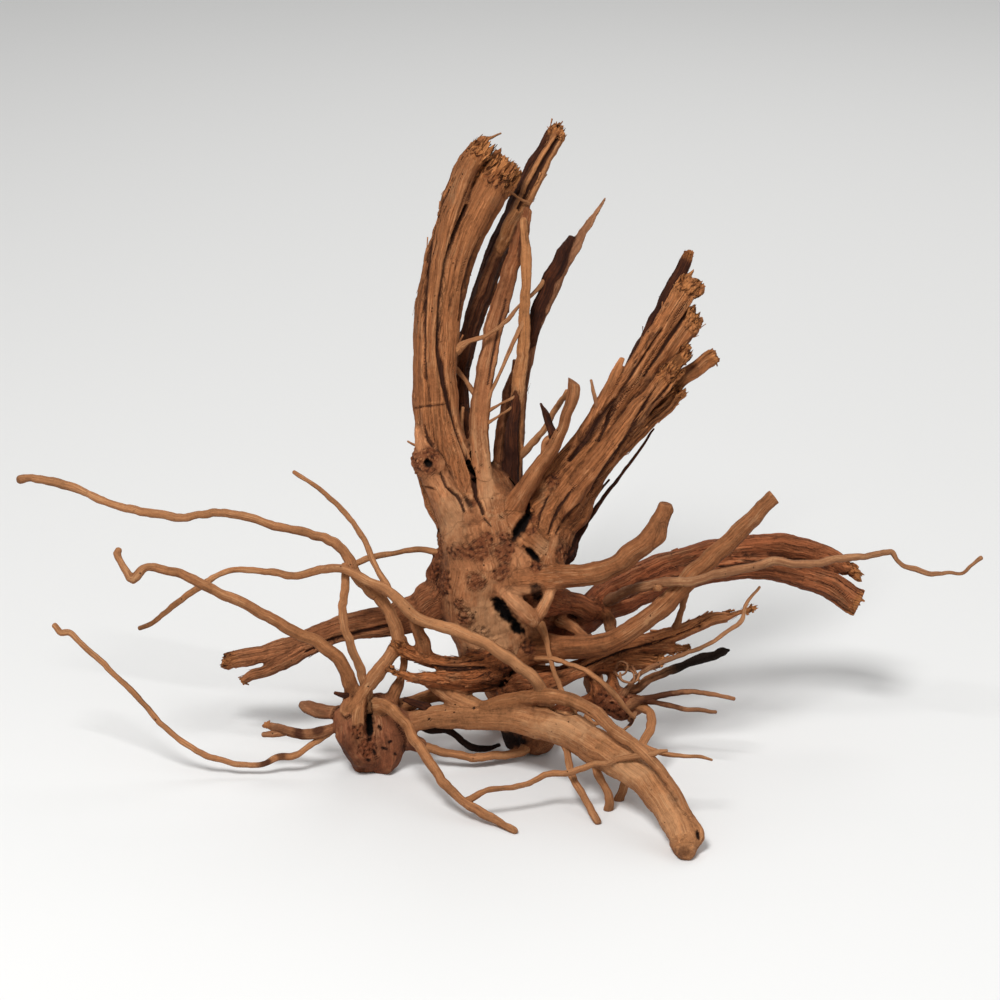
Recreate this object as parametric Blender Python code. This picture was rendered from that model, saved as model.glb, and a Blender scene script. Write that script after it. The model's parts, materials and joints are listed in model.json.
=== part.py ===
"""A spiderwood root, dug up, cleaned and dried: a knotted trunk, two bundles of torn shards standing up
from it, and roots that run out all round and carry it. It grew as one piece and is one solid.

Metres, +Z up. The origin lies on the surface that it stands on, under the middle of the root's box, and
the side that the two burls and the main root reach out to faces -Y.

Every limb is a route of (across, up, nearer, thick) in millimetres, written the way it looks from in
front: across and up from the middle of the view, nearer the eye, and the limb's thickness there. Where
nearer is None, the limb lies on the surface that the root stands on. place() turns a route's point into
the part's own frame.
"""

import math
import random

import bmesh
import bpy
from mathutils import Matrix, Vector, noise

MM = 0.001
NAME = "spiderwood_root"

# The view that the routes are written in
VIEW_TILT = math.radians(20)
EYE_REACH = 1800
MIDDLE_HEIGHT = 127
TRUNK_RIGHT = 2  # how far the middle of the view lies from the middle of the root's box
TRUNK_BACK = 33
FOOT_SINK = 0.8  # how deep a resting limb is sunk, which gives it a flat spot when it is cut level
SETTLE_ROUNDS = 5

# How a limb becomes a solid
SIDE_STEPS = (4.2, 9.5, 20)  # up to these thicknesses a limb has 4, 6 and 8 sides, and 10 past the last
UNEVEN = 0.035  # how far the surface wanders, as a share of the limb's thickness
MOST_UNEVEN = 0.9
WELD = 0.02
SHORTEST_EDGE = 0.1
SPLINTER_LEAN = 0.18

TRUNK = {
    "trunk": [
        (15, -119, -30, 24), (11, -104, -28, 26), (5, -84, -22, 33), (0, -66, -13, 44), (-3, -48, -6, 50),
        (-4, -31, 0, 54), (-5, -16, 2, 50), (-8, -3, 2, 38), (-10, 9, 1, 25), (-11, 19, -1, 12),
    ],
    "trunk_foot": [(13, -96, -30, 22), (16, -110, -32, 24), (19, -119, None, 20)],
    "heel_root": [(3, -70, -22, 30), (4, -86, -45, 21), (3, -96, -64, 16), (1, -102, None, 14)],
    "rear_root": [
        (8, -44, -20, 26), (24, -52, -38, 18), (36, -62, -54, 13.5), (43, -73, -66, 11),
        (46, -84, -72, 9.5), (47, -95, None, 9),
    ],
    "collar": [(-40, 35, 6, 8), (-37, 22, 12, 12), (-31, 9, 14, 14), (-24, -5, 12, 19), (-15, -18, 9, 26)],
    "knot": [(-30, 12, 14, 11), (-35, 17.5, 16, 13), (-36.5, 21, 17, 9)],
    "stub_low": [(1, -45, 18, 10), (7.5, -51.5, 23, 10), (13.5, -57.5, 24, 9), (17.5, -61, 24, 6)],
    "stub_level": [(-6, -45, 16, 7), (6, -45, 22, 6), (14, -44.5, 25, 5.5), (19.5, -44, 25, 4)],
    "stub_flat": [(28, -40, 21, 6), (24, -48.5, 22, 6), (20.5, -56, 22, 6), (17, -62, 20, 4)],
    "fin": [(28, -14, 17, 2.6), (26.5, -22.5, 19, 5), (24, -31, 19, 8)],
    "dark_clump": [(26, -32, -6, 16), (34, -25, -7, 13), (38.5, -16.5, -6, 8)],
}

STANDING_SHARDS = {
    "left_shard_outer": [
        (-16, -22, 2, 22), (-31, 4, 2, 16), (-38.5, 40, 4, 10.5), (-40, 66, 5, 9), (-37.5, 103, 6, 9),
        (-30, 134, 6, 8.5), (-20.5, 162, 6, 9), (-12.5, 175, 6, 8.5), (-8, 180, 6, 7),
    ],
    "left_shard_middle": [
        (-14, -24, 6, 20), (-28, 8, 7, 15), (-33.5, 45, 9.5, 12), (-34, 85, 11, 10.5), (-31, 110, 11, 11),
        (-23, 147, 12, 11.5), (-12, 172, 11.5, 11.5), (-6, 177.5, 11, 8),
    ],
    "left_shard_inner": [
        (-9, -22, 6, 26), (-20, 12, 7, 18), (-27, 50, 9, 12.5), (-26.5, 88.5, 9, 13.5), (-19.5, 123, 8, 17),
        (-11.5, 144, 7, 18), (-3.5, 159, 6, 18.5), (3.5, 168, 5, 17),
    ],
    "tall_shard_dark": [
        (-12, -10, -6, 18), (-17.5, 22, -8, 10.5), (-20, 58, -11, 8.6), (-15.5, 80, -12, 8.6),
        (-3, 116.5, -14, 9.6), (12.5, 152, -16, 9), (29.5, 187, -18, 7.4),
    ],
    "tall_shard_pale": [
        (0, 124, -11, 7), (4, 133, -10.5, 8), (11.5, 147.5, -11, 7), (21.5, 167.5, -12, 6.5),
        (31, 184, -13, 6.5),
    ],
    "leg_shard": [
        (14, 145, -10, 5.5), (9, 127, -7, 8), (1.5, 102, -3.5, 8.6), (-4.5, 78, 0.5, 9),
        (-9.5, 50, 4.5, 9.5), (-10, 22, 9, 10), (-2, -8, 10, 20),
    ],
    "pale_rod": [
        (11.5, 140, -3, 3.6), (13, 120, -1.5, 5), (12, 88.5, 0, 5.4), (9.5, 54.5, -1, 6.6),
        (5.5, 17.5, -3, 8.6), (4, -4, -2, 13),
    ],
    "spiked_shard": [
        (52.5, 151, -22, 1.6), (47, 142, -22, 3.8), (36.5, 126, -20, 7.6), (25.5, 108, -18, 8),
        (15.5, 82, -14, 7), (11, 55, -10, 7), (5, 4, -6, 12),
    ],
    "dark_strip": [(8, 70, -8, 3.6), (4, 50, -8, 6), (1, 30, -7, 7), (-1, 4, -5, 11)],
    "finger_stick": [
        (-2, -12, 10, 17), (6.5, -3, 17, 10.5), (12.5, 6, 20, 8.6), (21, 19, 21, 8), (27.5, 29, 22, 7.4),
        (32, 38, 23, 7), (35, 49, 24, 6.8), (36.5, 57, 24, 6.2), (36, 61, 24, 4.4),
    ],
    "thorn_upper": [(27, 32, 18, 4.6), (23.5, 41, 14, 3.8), (20.5, 48, 13, 1.4)],
    "thorn_lower": [(27, 33, 18, 4), (23, 28, 15, 3.6), (22, 23, 16, 3.4), (20, 18, 18, 4)],
}

RIGHT_BUNDLE = {
    "bundle_base": [
        (6, -34, 4, 36), (17, -18, 6, 34), (27, -5, 7, 31), (36, 8, 7, 27), (46, 22, 7, 22),
        (56, 36, 7, 16),
    ],
    "bundle_left": [
        (24, 4, 8, 16), (42, 29.5, 8, 13), (57.5, 50.5, 8, 11.5), (75.5, 77, 6, 11), (91, 101, 4, 12),
        (97.5, 109, 3, 11.5),
    ],
    "bundle_back": [(36, 10, 3, 18), (54, 36, 3, 14.5), (74, 60, 3, 14), (93, 86, 1, 12.5), (98, 93, 0, 10)],
    "bundle_notched": [(37.5, 8, 13, 12), (58, 32, 14, 9.5), (80, 59, 13, 8.5), (95, 76, 11, 6.5)],
    "bundle_peg": [
        (50, 15, 3, 9), (72, 42, 2, 8.4), (88, 57.5, 2, 7.6), (100, 67, 2, 7.4), (108, 72.5, 2, 7.5),
    ],
    "bundle_front": [(33, -4, 15, 15), (53, 23, 16.5, 12.5), (72.5, 47.5, 17, 12), (88.5, 66, 15, 11)],
    "bundle_right": [(36, -14, 7, 17), (55, 14, 8, 11.5), (72.5, 36.5, 8, 8.4), (91.5, 55, 8, 6)],
    "bundle_spur": [(42, 30, 10, 8), (51.5, 50, 12, 5.6), (56.5, 60, 12, 4.6), (61, 70.5, 12, 2.4)],
    "dark_spike": [
        (42, 22, 3, 10), (55, 42, -2, 8), (67, 67, -7, 6.8), (76, 86.5, -10, 6.2), (84.5, 103, -11, 6.4),
        (92, 118, -12, 6.4), (95.5, 125, -12, 4),
    ],
    "bristle_long": [
        (37, -20, -4, 6), (45, -7.5, -4, 2.6), (53.5, 7.5, -4, 1.8), (62.5, 20, -4, 1.6),
        (71.5, 30, -4, 1.4), (77, 35.5, -4, 1),
    ],
    "bristle_short": [(36, -18, -6, 6), (43, -7.5, -6, 2.4), (48.5, 2.5, -7, 1.8), (54.5, 10, -7, 1.2)],
}

LEFT_ROOTS = {
    "burl_middle": [(-67, -103, 4, 20), (-66, -117, 4, 28), (-64, -125, 2, 24)],
    "burl_left": [(-73, -101, 6, 13), (-75, -114, 8, 17), (-71, -124, 4, 17), (-68, -130.5, None, 13)],
    "burl_right": [(-60, -102, 2, 14), (-56, -117, 4, 20), (-58, -126, 3, 18), (-60, -131, None, 14)],
    "burl_lash": [
        (-77.5, -107, 17, 3), (-69.5, -99, 16, 6), (-62.5, -88.5, 14, 7.5), (-56, -79.5, 12, 7),
        (-50, -70, 10, 7),
    ],
    "long_root": [
        (-49, -76, 9, 7), (-51.5, -64, 10, 7), (-56, -54.5, 10, 6.5), (-67, -43.5, 9, 6),
        (-73, -36, 9, 5.8), (-78.5, -26, 9, 5.5), (-85, -20.5, 8, 5.2), (-96, -16.5, 7, 4.8),
        (-110, -13.5, 6, 4.6), (-125, -9.5, 5, 4.6), (-141, -6.5, 3, 4.4), (-150.5, -7.5, 2, 4.4),
        (-158.5, -9, 1, 4.2), (-170.5, -7, 0, 4.2), (-182.5, -5, -2, 4.2), (-194, -2, -4, 4.2),
        (-202, 1.3, -5, 4.4), (-210, 5.3, -6, 4.6), (-219.5, 8, -8, 4.4), (-230, 10, -9, 4.4),
        (-242, 11, -10, 4),
    ],
    "hooked_root": [
        (-70, -103, 6, 9), (-74, -94, 12, 8), (-77.5, -85, 18, 7.5), (-83.5, -77, 24, 7),
        (-90.5, -72, 28, 6.8), (-104.5, -65, 32, 6.5), (-122, -55, 36, 6), (-136, -48, 39, 5.6),
        (-150.5, -41, 41, 5.2), (-162.5, -36.5, 42, 5), (-171, -34, 43, 4.8), (-177.5, -33.5, 44, 4.6),
        (-180.5, -37, 45, 4.4), (-183.5, -40, 46, 4.2), (-187, -35.5, 45, 3.6), (-190, -29.5, 43, 3.2),
        (-190.5, -25, 42, 3.4),
    ],
    "crossing_root": [
        (-180.5, -64, 14, 2.8), (-174.5, -62, 14, 2.8), (-168.5, -57, 14, 3), (-160.5, -50.5, 14, 3.2),
        (-153, -45.5, 14, 3.2), (-144, -39, 15, 3.2), (-134, -35, 15, 3.4), (-122, -35.5, 16, 3.4),
        (-111.5, -36.5, 16, 3.6), (-102.5, -38, 17, 3.8), (-92.5, -36, 18, 4), (-80, -34, 19, 4.4),
        (-73, -37, 19, 4.8), (-66, -41, 20, 5), (-56.5, -45, 21, 5.2), (-50.5, -50, 22, 5.6),
        (-43.5, -58, 23, 6.4), (-24.5, -64.5, 26, 6.2), (-7.5, -71.5, 28, 6.4), (5.5, -80, 30, 6.6),
        (18.5, -91, 28, 7), (23, -99, 24, 7),
    ],
    "upright_twig": [
        (-103, 14, 2, 2), (-97.5, 10.5, 3, 2.2), (-89, 4.5, 5, 2.4), (-82.5, -1, 7, 2.6), (-75, -9, 9, 2.8),
        (-69.5, -17.5, 12, 3), (-63, -31, 16, 3.2), (-55, -45.5, 21, 3.4),
    ],
    "level_twig": [
        (-22, -26, 4, 5), (-31, -26, 3, 3), (-39.5, -24.5, 3, 2.8), (-50, -26, 4, 2.8),
        (-62.5, -28.5, 6, 3), (-69, -30.5, 8, 3.2), (-76, -33, 9, 3),
    ],
    "post_root": [
        (-77, -33, 14, 4), (-78, -45, 15, 4.2), (-78.5, -54, 16, 4.2), (-76, -70, 16, 4.2),
        (-70, -85.5, 13, 4.6), (-66.5, -95, 10, 5.4), (-65.5, -104, 6, 8),
    ],
    "split_root_upper": [
        (-14, -28, 0, 28), (-23, -40, -4, 25), (-32, -51, -8, 20), (-43, -57, -11, 16.5),
        (-59, -61.5, -15, 13.5), (-73, -63.5, -18, 12.5), (-87.5, -67.5, -21, 11.5), (-106, -74, -25, 9.6),
        (-121, -78, -28, 8.8), (-137.5, -81.5, -31, 7.6),
    ],
    "split_root_lower": [
        (-84, -68, -20, 9), (-101, -77.5, -20, 6.8), (-112.5, -83, -22, 6), (-122.5, -87.5, -24, 5.4),
        (-130, -91, -25, 4),
    ],
    "jaw_upper": [
        (0, -80, 2, 16), (-12, -81.5, 6, 10), (-22, -82, 9, 8), (-31, -81, 10, 7.6), (-39, -78.5, 11, 7.2),
        (-46, -75.5, 12, 7), (-50.5, -73, 12, 6.4), (-54, -71.5, 11, 4),
    ],
    "jaw_lower": [
        (-2, -87, 2, 16), (-15, -90, 8, 11), (-28, -89.5, 12, 8), (-37.5, -89, 13, 6.8),
        (-43.5, -88, 14, 4.6), (-57, -84.5, 14, 1.6),
    ],
    "knuckle": [(-43, -58, 21, 6), (-41, -66, 16, 6.6), (-38.5, -73, 12, 8.4), (-37.5, -80, 9, 9.6)],
    "prop_root": [
        (-49, -68, 9, 5), (-48, -79, 6, 4), (-49.5, -87, 4, 4.6), (-52, -95, 3, 6.4), (-56, -104, 3, 10),
    ],
    "near_leg": [
        (-64, -103, 8, 9), (-56, -103.5, 19, 6.4), (-48.5, -111, 27, 6), (-43, -119, 34, 5.8),
        (-38, -127, 40, 5.6), (-33.5, -134, 46, 5.4), (-28, -142, 51, 5.2), (-19, -150, 57, 5),
        (-11, -155, 60, 5), (-1, -160, 63, 4.8), (8, -165.5, None, 4.6),
    ],
    "back_runner": [
        (-58, -120, 0, 10), (-44, -121, -1, 5.6), (-35, -123.5, 0, 4.8), (-24.5, -127, 0, 4.6),
        (-16, -128.5, 0, 4.6), (-3, -128, -3, 4.6), (9.5, -126, -8, 4.8), (18, -121, -18, 8),
    ],
    "black_root": [
        (-42, -111, 0, 6), (-32.5, -115, -3, 4.6), (-26.5, -115.5, -4, 4), (-16, -122.5, -6, 4),
        (-11, -124.5, -7, 3.8), (-0.5, -122.5, -8, 2.2),
    ],
    "wedge_stub": [(-70, -108, 4, 12), (-83.5, -106, 4, 8), (-91, -104.5, 4, 7.4), (-98.5, -102.5, 4, 4.4)],
    "forked_stub": [
        (-74, -111, 6, 7), (-87, -115.5, 7, 5), (-95, -117, 8, 5.2), (-102.5, -116.5, 8, 5.4),
        (-110.5, -114, 8, 4.6), (-118.5, -112, 8, 2.8),
    ],
    "forked_stub_tine": [(-107, -115.5, 8, 4.4), (-113, -116.5, 8, 3.6), (-118.5, -117, 8, 2.8)],
    "low_left_root": [
        (-76, -111, 5, 6), (-82.5, -114, 5, 4), (-94, -122, 7, 3), (-103.5, -128, 8, 3.4),
        (-111, -128.5, 8, 3.4), (-120.5, -132.5, 8, 3), (-134, -131.5, 8, 3), (-147.5, -127.5, 8, 3),
        (-158.5, -121, 8, 3), (-168.5, -112.5, 8, 2.9), (-179, -101, 8, 2.8), (-189, -91, 8, 2.8),
        (-199, -81.5, 8, 2.8), (-206, -75.5, 8, 2.8), (-211, -70, 8, 2.9), (-215.5, -66.5, 8, 2.9),
        (-219.5, -66.5, 8, 2.9), (-223, -63, 8, 2.8),
    ],
    "saddle": [
        (-56, -106, -3, 10), (-44, -102, -5, 8.4), (-35, -98, -4, 9), (-26, -97, 0, 9.4), (-17, -101, 4, 9),
        (-8, -105, 8, 9),
    ],
    "saddle_front": [(-38, -90, 8, 5), (-30, -95, 7, 7.4), (-21, -100, 8, 8.4), (-10, -105, 10, 9)],
}

RIGHT_ROOTS = {
    "curved_branch": [
        (0, -34, 8, 22), (21.5, -38, 19, 13), (34, -38, 22, 10.4), (47.5, -36.5, 25, 9.6),
        (59, -32, 26, 9.8), (67.5, -25.5, 28, 10), (76, -18.5, 29, 10.6), (81, -11, 29, 10),
        (83.5, -3, 29, 8.6),
    ],
    "shoulder": [(8, -44, 8, 26), (24, -49, 2, 16), (35, -51, -6, 11), (46, -56, -16, 12)],
    "back_root_upper": [
        (16, -58, -14, 24), (30, -62, -18, 18), (45, -55, -22, 16), (60.5, -43, -26, 15),
        (85, -32, -31, 13.5), (112, -25, -36, 13), (147.5, -24.5, -39, 13), (165, -30, -40, 11),
        (181, -37.5, -40, 4.4),
    ],
    "back_root_lower": [
        (30, -68, -16, 16), (55, -53, -22, 15), (80, -43, -26.5, 12.6), (111.5, -35, -31, 11.4),
        (140, -35.5, -33.5, 11), (162.5, -42, -35, 12.5), (180, -51.5, -35, 12),
    ],
    "straight_branch": [
        (6, -76, -8, 22), (22, -74, 1, 14), (36, -74, 7, 11), (55, -71.5, 12, 10.2), (70.5, -62, 14, 9.8),
        (101.5, -33, 15, 9.4), (138, 1.5, 12, 7.4),
    ],
    "long_right_root": [
        (24, -64, 0, 10), (42.5, -56, 8, 7.6), (55.5, -48.5, 12, 7), (71, -43, 17, 6), (86, -39.5, 23, 5.2),
        (101.5, -39.5, 24, 4.8), (111.5, -36.5, 22, 4.8), (127, -33.5, 20, 4.6), (137, -31, 18, 4.4),
        (147.5, -32.5, 17, 4.2), (162.5, -31, 16, 4), (175.5, -29, 15, 3.6), (188.5, -27, 14, 3.2),
        (196.5, -26.5, 14, 2.8), (199, -30.5, 14, 2.6), (203, -33.5, 14, 2.6), (209, -35.5, 14, 2.4),
        (216, -37, 14, 2.4), (225, -36, 15, 2.2), (231, -36.5, 15, 2), (236, -32.5, 16, 2),
        (241, -28.5, 16, 2.4),
    ],
    "torn_slab": [
        (6, -92, -6, 22), (20, -91, -4, 15), (38, -85.5, -3.5, 10.5), (56, -76, -6, 10), (79, -70, -9, 9),
        (106, -60, -11, 6), (129, -53, -11, 2.4),
    ],
    "torn_slab_lobe": [
        (46, -82, -6, 11), (60, -81.5, -6, 9), (72, -80.5, -6, 8), (78, -81, -6, 6), (83, -79, -6, 2.6),
    ],
    "torn_slab_teeth": [(74, -73, -8, 9), (84, -73.5, -8, 6), (90, -74, -8, 3.6), (97, -73, -8, 1.4)],
    "slab_twig": [(92.5, -46, 10, 4), (90.5, -56, 0, 3), (87.5, -64, -8, 4)],
    "peg": [(30, -60, -4, 6), (38, -65, 1, 4.6), (46, -71, 8, 5)],
    "right_burl": [
        (48, -95, -8, 9), (54, -100, -6, 15), (60, -102.5, -4, 17), (66, -103.5, -3, 12), (71, -102, 0, 6),
    ],
    "burl_neck": [(44, -82, -6, 9), (47, -89, -7, 6.4), (49.5, -97, -6, 10)],
    "burl_neck_right": [(58, -78, -6, 8), (56.5, -86, -6, 4.6), (55.5, -95, -5, 9)],
    "burl_tie": [(14, -112, -22, 12), (27, -107.5, -14, 7), (38.5, -102, -9, 6.2), (50, -99.5, -6, 9)],
    "black_tip_stick": [
        (56, -101, -3, 6), (71, -92, -3, 4.2), (86.5, -84.5, -4, 4), (102, -79, -5, 4.4),
        (110, -76.5, -5, 4), (114, -75.3, -5, 1.4),
    ],
    "whip_twig": [
        (60, -99, 0, 4), (66.5, -91, 3, 2.4), (71, -86.5, 4, 2.2), (86.5, -79, 5, 2.2),
        (105.5, -71.5, 5, 2.1), (114, -65.5, 5, 2), (121, -59.5, 5, 2.2), (122.5, -53.5, 5, 1.8),
        (130, -43.5, 5, 1.3),
    ],
    "tine_upper": [
        (62, -103, 0, 7), (72.5, -99, 6, 3.8), (79, -98, 7, 3), (94, -96, 9, 2.6), (105, -97.3, 10, 2.4),
        (117, -99.5, 11, 2),
    ],
    "tine_lower": [(70, -100, 4, 4), (79, -101.5, 9, 2.8), (94, -104.5, 12, 2.4), (108, -106, 15, 2.1)],
    "arching_twig": [
        (14, -78, 4, 5), (26, -79.5, 14, 3), (33, -81.5, 20, 3), (46, -87.5, 26, 3), (53, -93.5, 26, 3),
        (60, -101, 20, 2.8), (67, -108.5, 12, 2.4),
    ],
    "drop_twig": [
        (20, -62, 6, 5), (24.5, -75, 12, 2.6), (27, -86, 15, 2.6), (30.5, -94.5, 19, 2.6),
        (36, -103, 22, 2.6), (40, -111, 26, 3),
    ],
}

LOW_ROOTS = {
    "main_root": [
        (-64, -114, 2, 22), (-48, -111, 2, 10), (-33.5, -108.5, 4, 11), (-16, -107.5, 8, 13.4),
        (1, -108, 13, 14), (20, -111, 22, 16.4), (37.5, -116.5, 36, 17.4), (54, -126.5, 51, 16.6),
        (69.5, -137.5, 64, 15), (80.5, -150, 76, 14.2), (88.5, -163.5, 87, 13.6), (91.5, -171.5, 93, 13),
        (92.5, -177, None, 9),
    ],
    "main_root_knob": [(88, -154, 80, 10), (95, -163, 86, 11.4), (99, -168.5, 89, 9.6), (97, -174, 92, 8)],
    "upper_front_root": [
        (-6, -104, 12, 9), (2.5, -101, 17, 8), (21.5, -98, 26, 7.6), (34, -99.5, 36, 7),
        (46.5, -105.5, 46, 6.6), (58, -115.5, 57, 6.2), (69.5, -123.5, 67, 5.8), (75.5, -131, 72, 5.2),
        (83, -143, 78, 5), (90, -153, 84, 5.2), (94.5, -162, 87, 6.6),
    ],
    "leg_first": [
        (31.5, -117, 28, 7), (33.5, -125, 36, 3.8), (35.5, -136.5, 45, 3.7), (41.5, -148, 52, 3.7),
        (46, -156, 56, 3.7), (49, -161, None, 3.8),
    ],
    "leg_second": [
        (44, -123, 42, 8), (47, -131.5, 46, 4.2), (51.5, -141.5, 47, 4), (54.5, -149.5, 47, 4.2),
        (54, -155.5, None, 4.4),
    ],
    "leg_third": [
        (67, -101.5, 0, 6), (74.5, -106, 6, 4.7), (75.5, -112, 12, 4.7), (73, -118.5, 18, 4.5),
        (69, -126, 25, 4.4), (65, -136, 33, 4.4), (61.5, -144, 37, 4.4), (59.5, -150, None, 4.8),
    ],
    "front_whip": [
        (-18, -151, 57, 4), (-6, -144.5, 59, 2.6), (5, -144, 56, 2.6), (17.5, -140.5, 53, 2.7),
        (23, -137, 52, 2.8), (34.5, -136, 54, 2.8), (48, -132.5, 58, 2.8), (59, -130, 66, 3),
        (71, -127.5, 72, 3), (77.5, -126.5, 76, 2.8), (83.5, -125.5, 78, 1.4),
    ],
    "front_whip_tip": [(70, -124, 68, 4), (86, -127.5, 72, 2.2), (100, -128.5, 70, 1.7), (106, -130, 69, 1)],
}

TWIGS = {
    "bridge_twig": [
        (-23, 75, 8, 7), (-15, 79.5, 9, 2.8), (-6, 83, 8, 2.3), (2.5, 89, 5, 2.2), (10.5, 97.5, -5, 2.1),
        (15.5, 102, -9, 2), (24, 112, -17, 2.6),
    ],
    "curved_twig": [(5, 19, -4, 4), (15, 27, 0, 3.2), (22.5, 36, 3, 3), (28, 45, 8, 2.8), (34, 54, 20, 2.6)],
    "hair_curved": [
        (-9, 44, 7, 3), (-3, 57.5, 7, 1.5), (1.5, 66.5, 5, 1.4), (6.5, 77, 3, 1.3), (12, 91, 1, 2),
    ],
}

LIMBS = {**TRUNK, **STANDING_SHARDS, **RIGHT_BUNDLE, **LEFT_ROOTS, **RIGHT_ROOTS, **LOW_ROOTS, **TWIGS}

# Torn ends: (limb, how many splinters stand out of its end, their length)
TORN_ENDS = [
    ("left_shard_middle", 2, 5),
    ("left_shard_inner", 4, 6),
    ("tall_shard_dark", 2, 4),
    ("bundle_left", 3, 5),
    ("bundle_back", 2, 5),
    ("bundle_front", 2, 5),
    ("split_root_upper", 2, 4),
    ("back_root_lower", 3, 4),
]

# Warts on the trunk and the burls: (across, up, nearer, size)
WARTS = [
    (-25, -25, 19, 8), (-12, -22, 24, 10), (1.5, -26, 24, 9), (-5, -40, 22, 8), (-29, -42, 8, 9), (17, -34, 19, 8),
    (-74, -113, 17, 9), (61, -105, 4, 9),
]

# Hollows: (across, up, nearer, width, length, lean in degrees)
HOLLOWS = [
    (9, -14, 27, 5.5, 17, -35), (16.5, -27.5, 26, 5, 11, 45), (-35, 18.5, 23, 5, 6, 0), (5, -58, 14, 11, 22, 30),
]


def depth_at(up, height):
    """How far nearer the eye a point seen at this height lies when it is this high above the resting surface."""
    per_nearer = math.sin(VIEW_TILT) - up * math.cos(VIEW_TILT) / EYE_REACH
    return (height - MIDDLE_HEIGHT - up * math.cos(VIEW_TILT)) / per_nearer


def place(across, up, nearer):
    """A point of a route in the part's frame, in metres. What is nearer the eye looks larger, so it is drawn in."""
    shrink = 1 - nearer / EYE_REACH
    high = up * shrink
    x = TRUNK_RIGHT + across * shrink
    y = TRUNK_BACK + high * math.sin(VIEW_TILT) - nearer * math.cos(VIEW_TILT)
    z = MIDDLE_HEIGHT + high * math.cos(VIEW_TILT) + nearer * math.sin(VIEW_TILT)
    return Vector((x, y, z)) * MM


def resting_depth(up, across, thick, before):
    """The depth at which the lowest side of a limb's last ring is sunk a little below the surface."""
    nearer = depth_at(up, thick / 2)
    for _ in range(SETTLE_ROUNDS):
        along = (place(across, up, nearer) - before).normalized()
        reach = thick / 2 * math.sqrt(max(0, 1 - along.z**2))
        nearer = depth_at(up, reach - FOOT_SINK)
    return nearer


def stations(route):
    """The route's points in the part's frame, with the limb's radius at each, in metres."""
    found = []
    for across, up, nearer, thick in route:
        if nearer is None:
            nearer = resting_depth(up, across, thick, found[-1][0])
        radius = thick / 2 * (1 - nearer / EYE_REACH) * MM
        found.append((place(across, up, nearer), radius))
    return found


def bevel_steps(thick):
    """The bevel resolution of a limb's curve: thicker limbs have more sides."""
    return sum(thick > limit for limit in SIDE_STEPS)


def limb_curve(name, points, thick):
    """A tapering tube along the stations, a little larger so that its flat sides keep the round limb's volume."""
    steps = bevel_steps(thick)
    sides = 4 + 2 * steps
    larger = math.sqrt(2 * math.pi / (sides * math.sin(2 * math.pi / sides)))
    data = bpy.data.curves.new(name, "CURVE")
    data.dimensions = "3D"
    data.bevel_depth = 1
    data.bevel_resolution = steps
    data.use_fill_caps = True
    data.twist_mode = "MINIMUM"
    spline = data.splines.new("POLY")
    spline.points.add(len(points) - 1)
    for point, (spot, radius) in zip(spline.points, points):
        point.co = (*spot, 1)
        point.radius = radius * larger
    limb = bpy.data.objects.new(name, data)
    bpy.context.scene.collection.objects.link(limb)
    return limb


def solid_from(limb, collection):
    """The curve made a closed mesh with its caps welded on, in the collection, and the curve removed."""
    bpy.context.view_layer.update()
    graph = bpy.context.evaluated_depsgraph_get()
    mesh = bpy.data.meshes.new_from_object(limb.evaluated_get(graph))
    mesh.transform(limb.matrix_world)
    shape = bmesh.new()
    shape.from_mesh(mesh)
    bmesh.ops.remove_doubles(shape, verts=shape.verts, dist=WELD * MM)
    bmesh.ops.recalc_face_normals(shape, faces=shape.faces)
    shape.to_mesh(mesh)
    shape.free()
    solid = bpy.data.objects.new(limb.name + "_solid", mesh)
    collection.objects.link(solid)
    bpy.data.objects.remove(limb)
    return solid


def roughen(mesh, amount, grain=70):
    """Moves the surface in and out a little, as weathered wood does. The amount is in metres."""
    normals = [vertex.normal.copy() for vertex in mesh.vertices]
    for vertex, normal in zip(mesh.vertices, normals):
        vertex.co += normal * amount * noise.noise(vertex.co * grain, noise_basis="PERLIN_NEW")


def limb_solid(name, route, collection):
    points = stations(route)
    thick = max(station[3] for station in route)
    usual = sorted(station[3] for station in route)[len(route) // 2]
    solid = solid_from(limb_curve(name, points, (thick + 2 * usual) / 3), collection)
    roughen(solid.data, min(thick * UNEVEN, MOST_UNEVEN) * MM)
    return solid


def splinters(name, count, length, collection, chance):
    """Short torn points that stand out of a limb's broken end."""
    (before, _), (tip, radius) = stations(LIMBS[name])[-2:]
    along = (tip - before).normalized()
    side = along.orthogonal().normalized()
    for index in range(count):
        out = Matrix.Rotation(2 * math.pi * (index + chance.random() / 2) / count, 3, along) @ side
        root = tip - along * radius + out * radius * 0.45
        reach = length * (0.7 + 0.6 * chance.random()) * MM
        point = root + along * (reach + radius) + out * reach * SPLINTER_LEAN
        limb = limb_curve(f"{name}_splinter_{index}", [(root, radius * 0.5), (point, 0.4 * MM)], 0)
        solid_from(limb, collection)


def wart(index, across, up, nearer, size, collection):
    """A knob of burr wood, sunk in its limb."""
    shape = bmesh.new()
    bmesh.ops.create_icosphere(shape, subdivisions=1, radius=size / 2 * MM)
    bmesh.ops.translate(shape, verts=shape.verts, vec=place(across, up, nearer - size * 0.3))
    mesh = bpy.data.meshes.new(f"wart_{index}")
    shape.to_mesh(mesh)
    shape.free()
    roughen(mesh, 0.8 * MM, 240)
    collection.objects.link(bpy.data.objects.new(f"wart_{index}", mesh))


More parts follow.
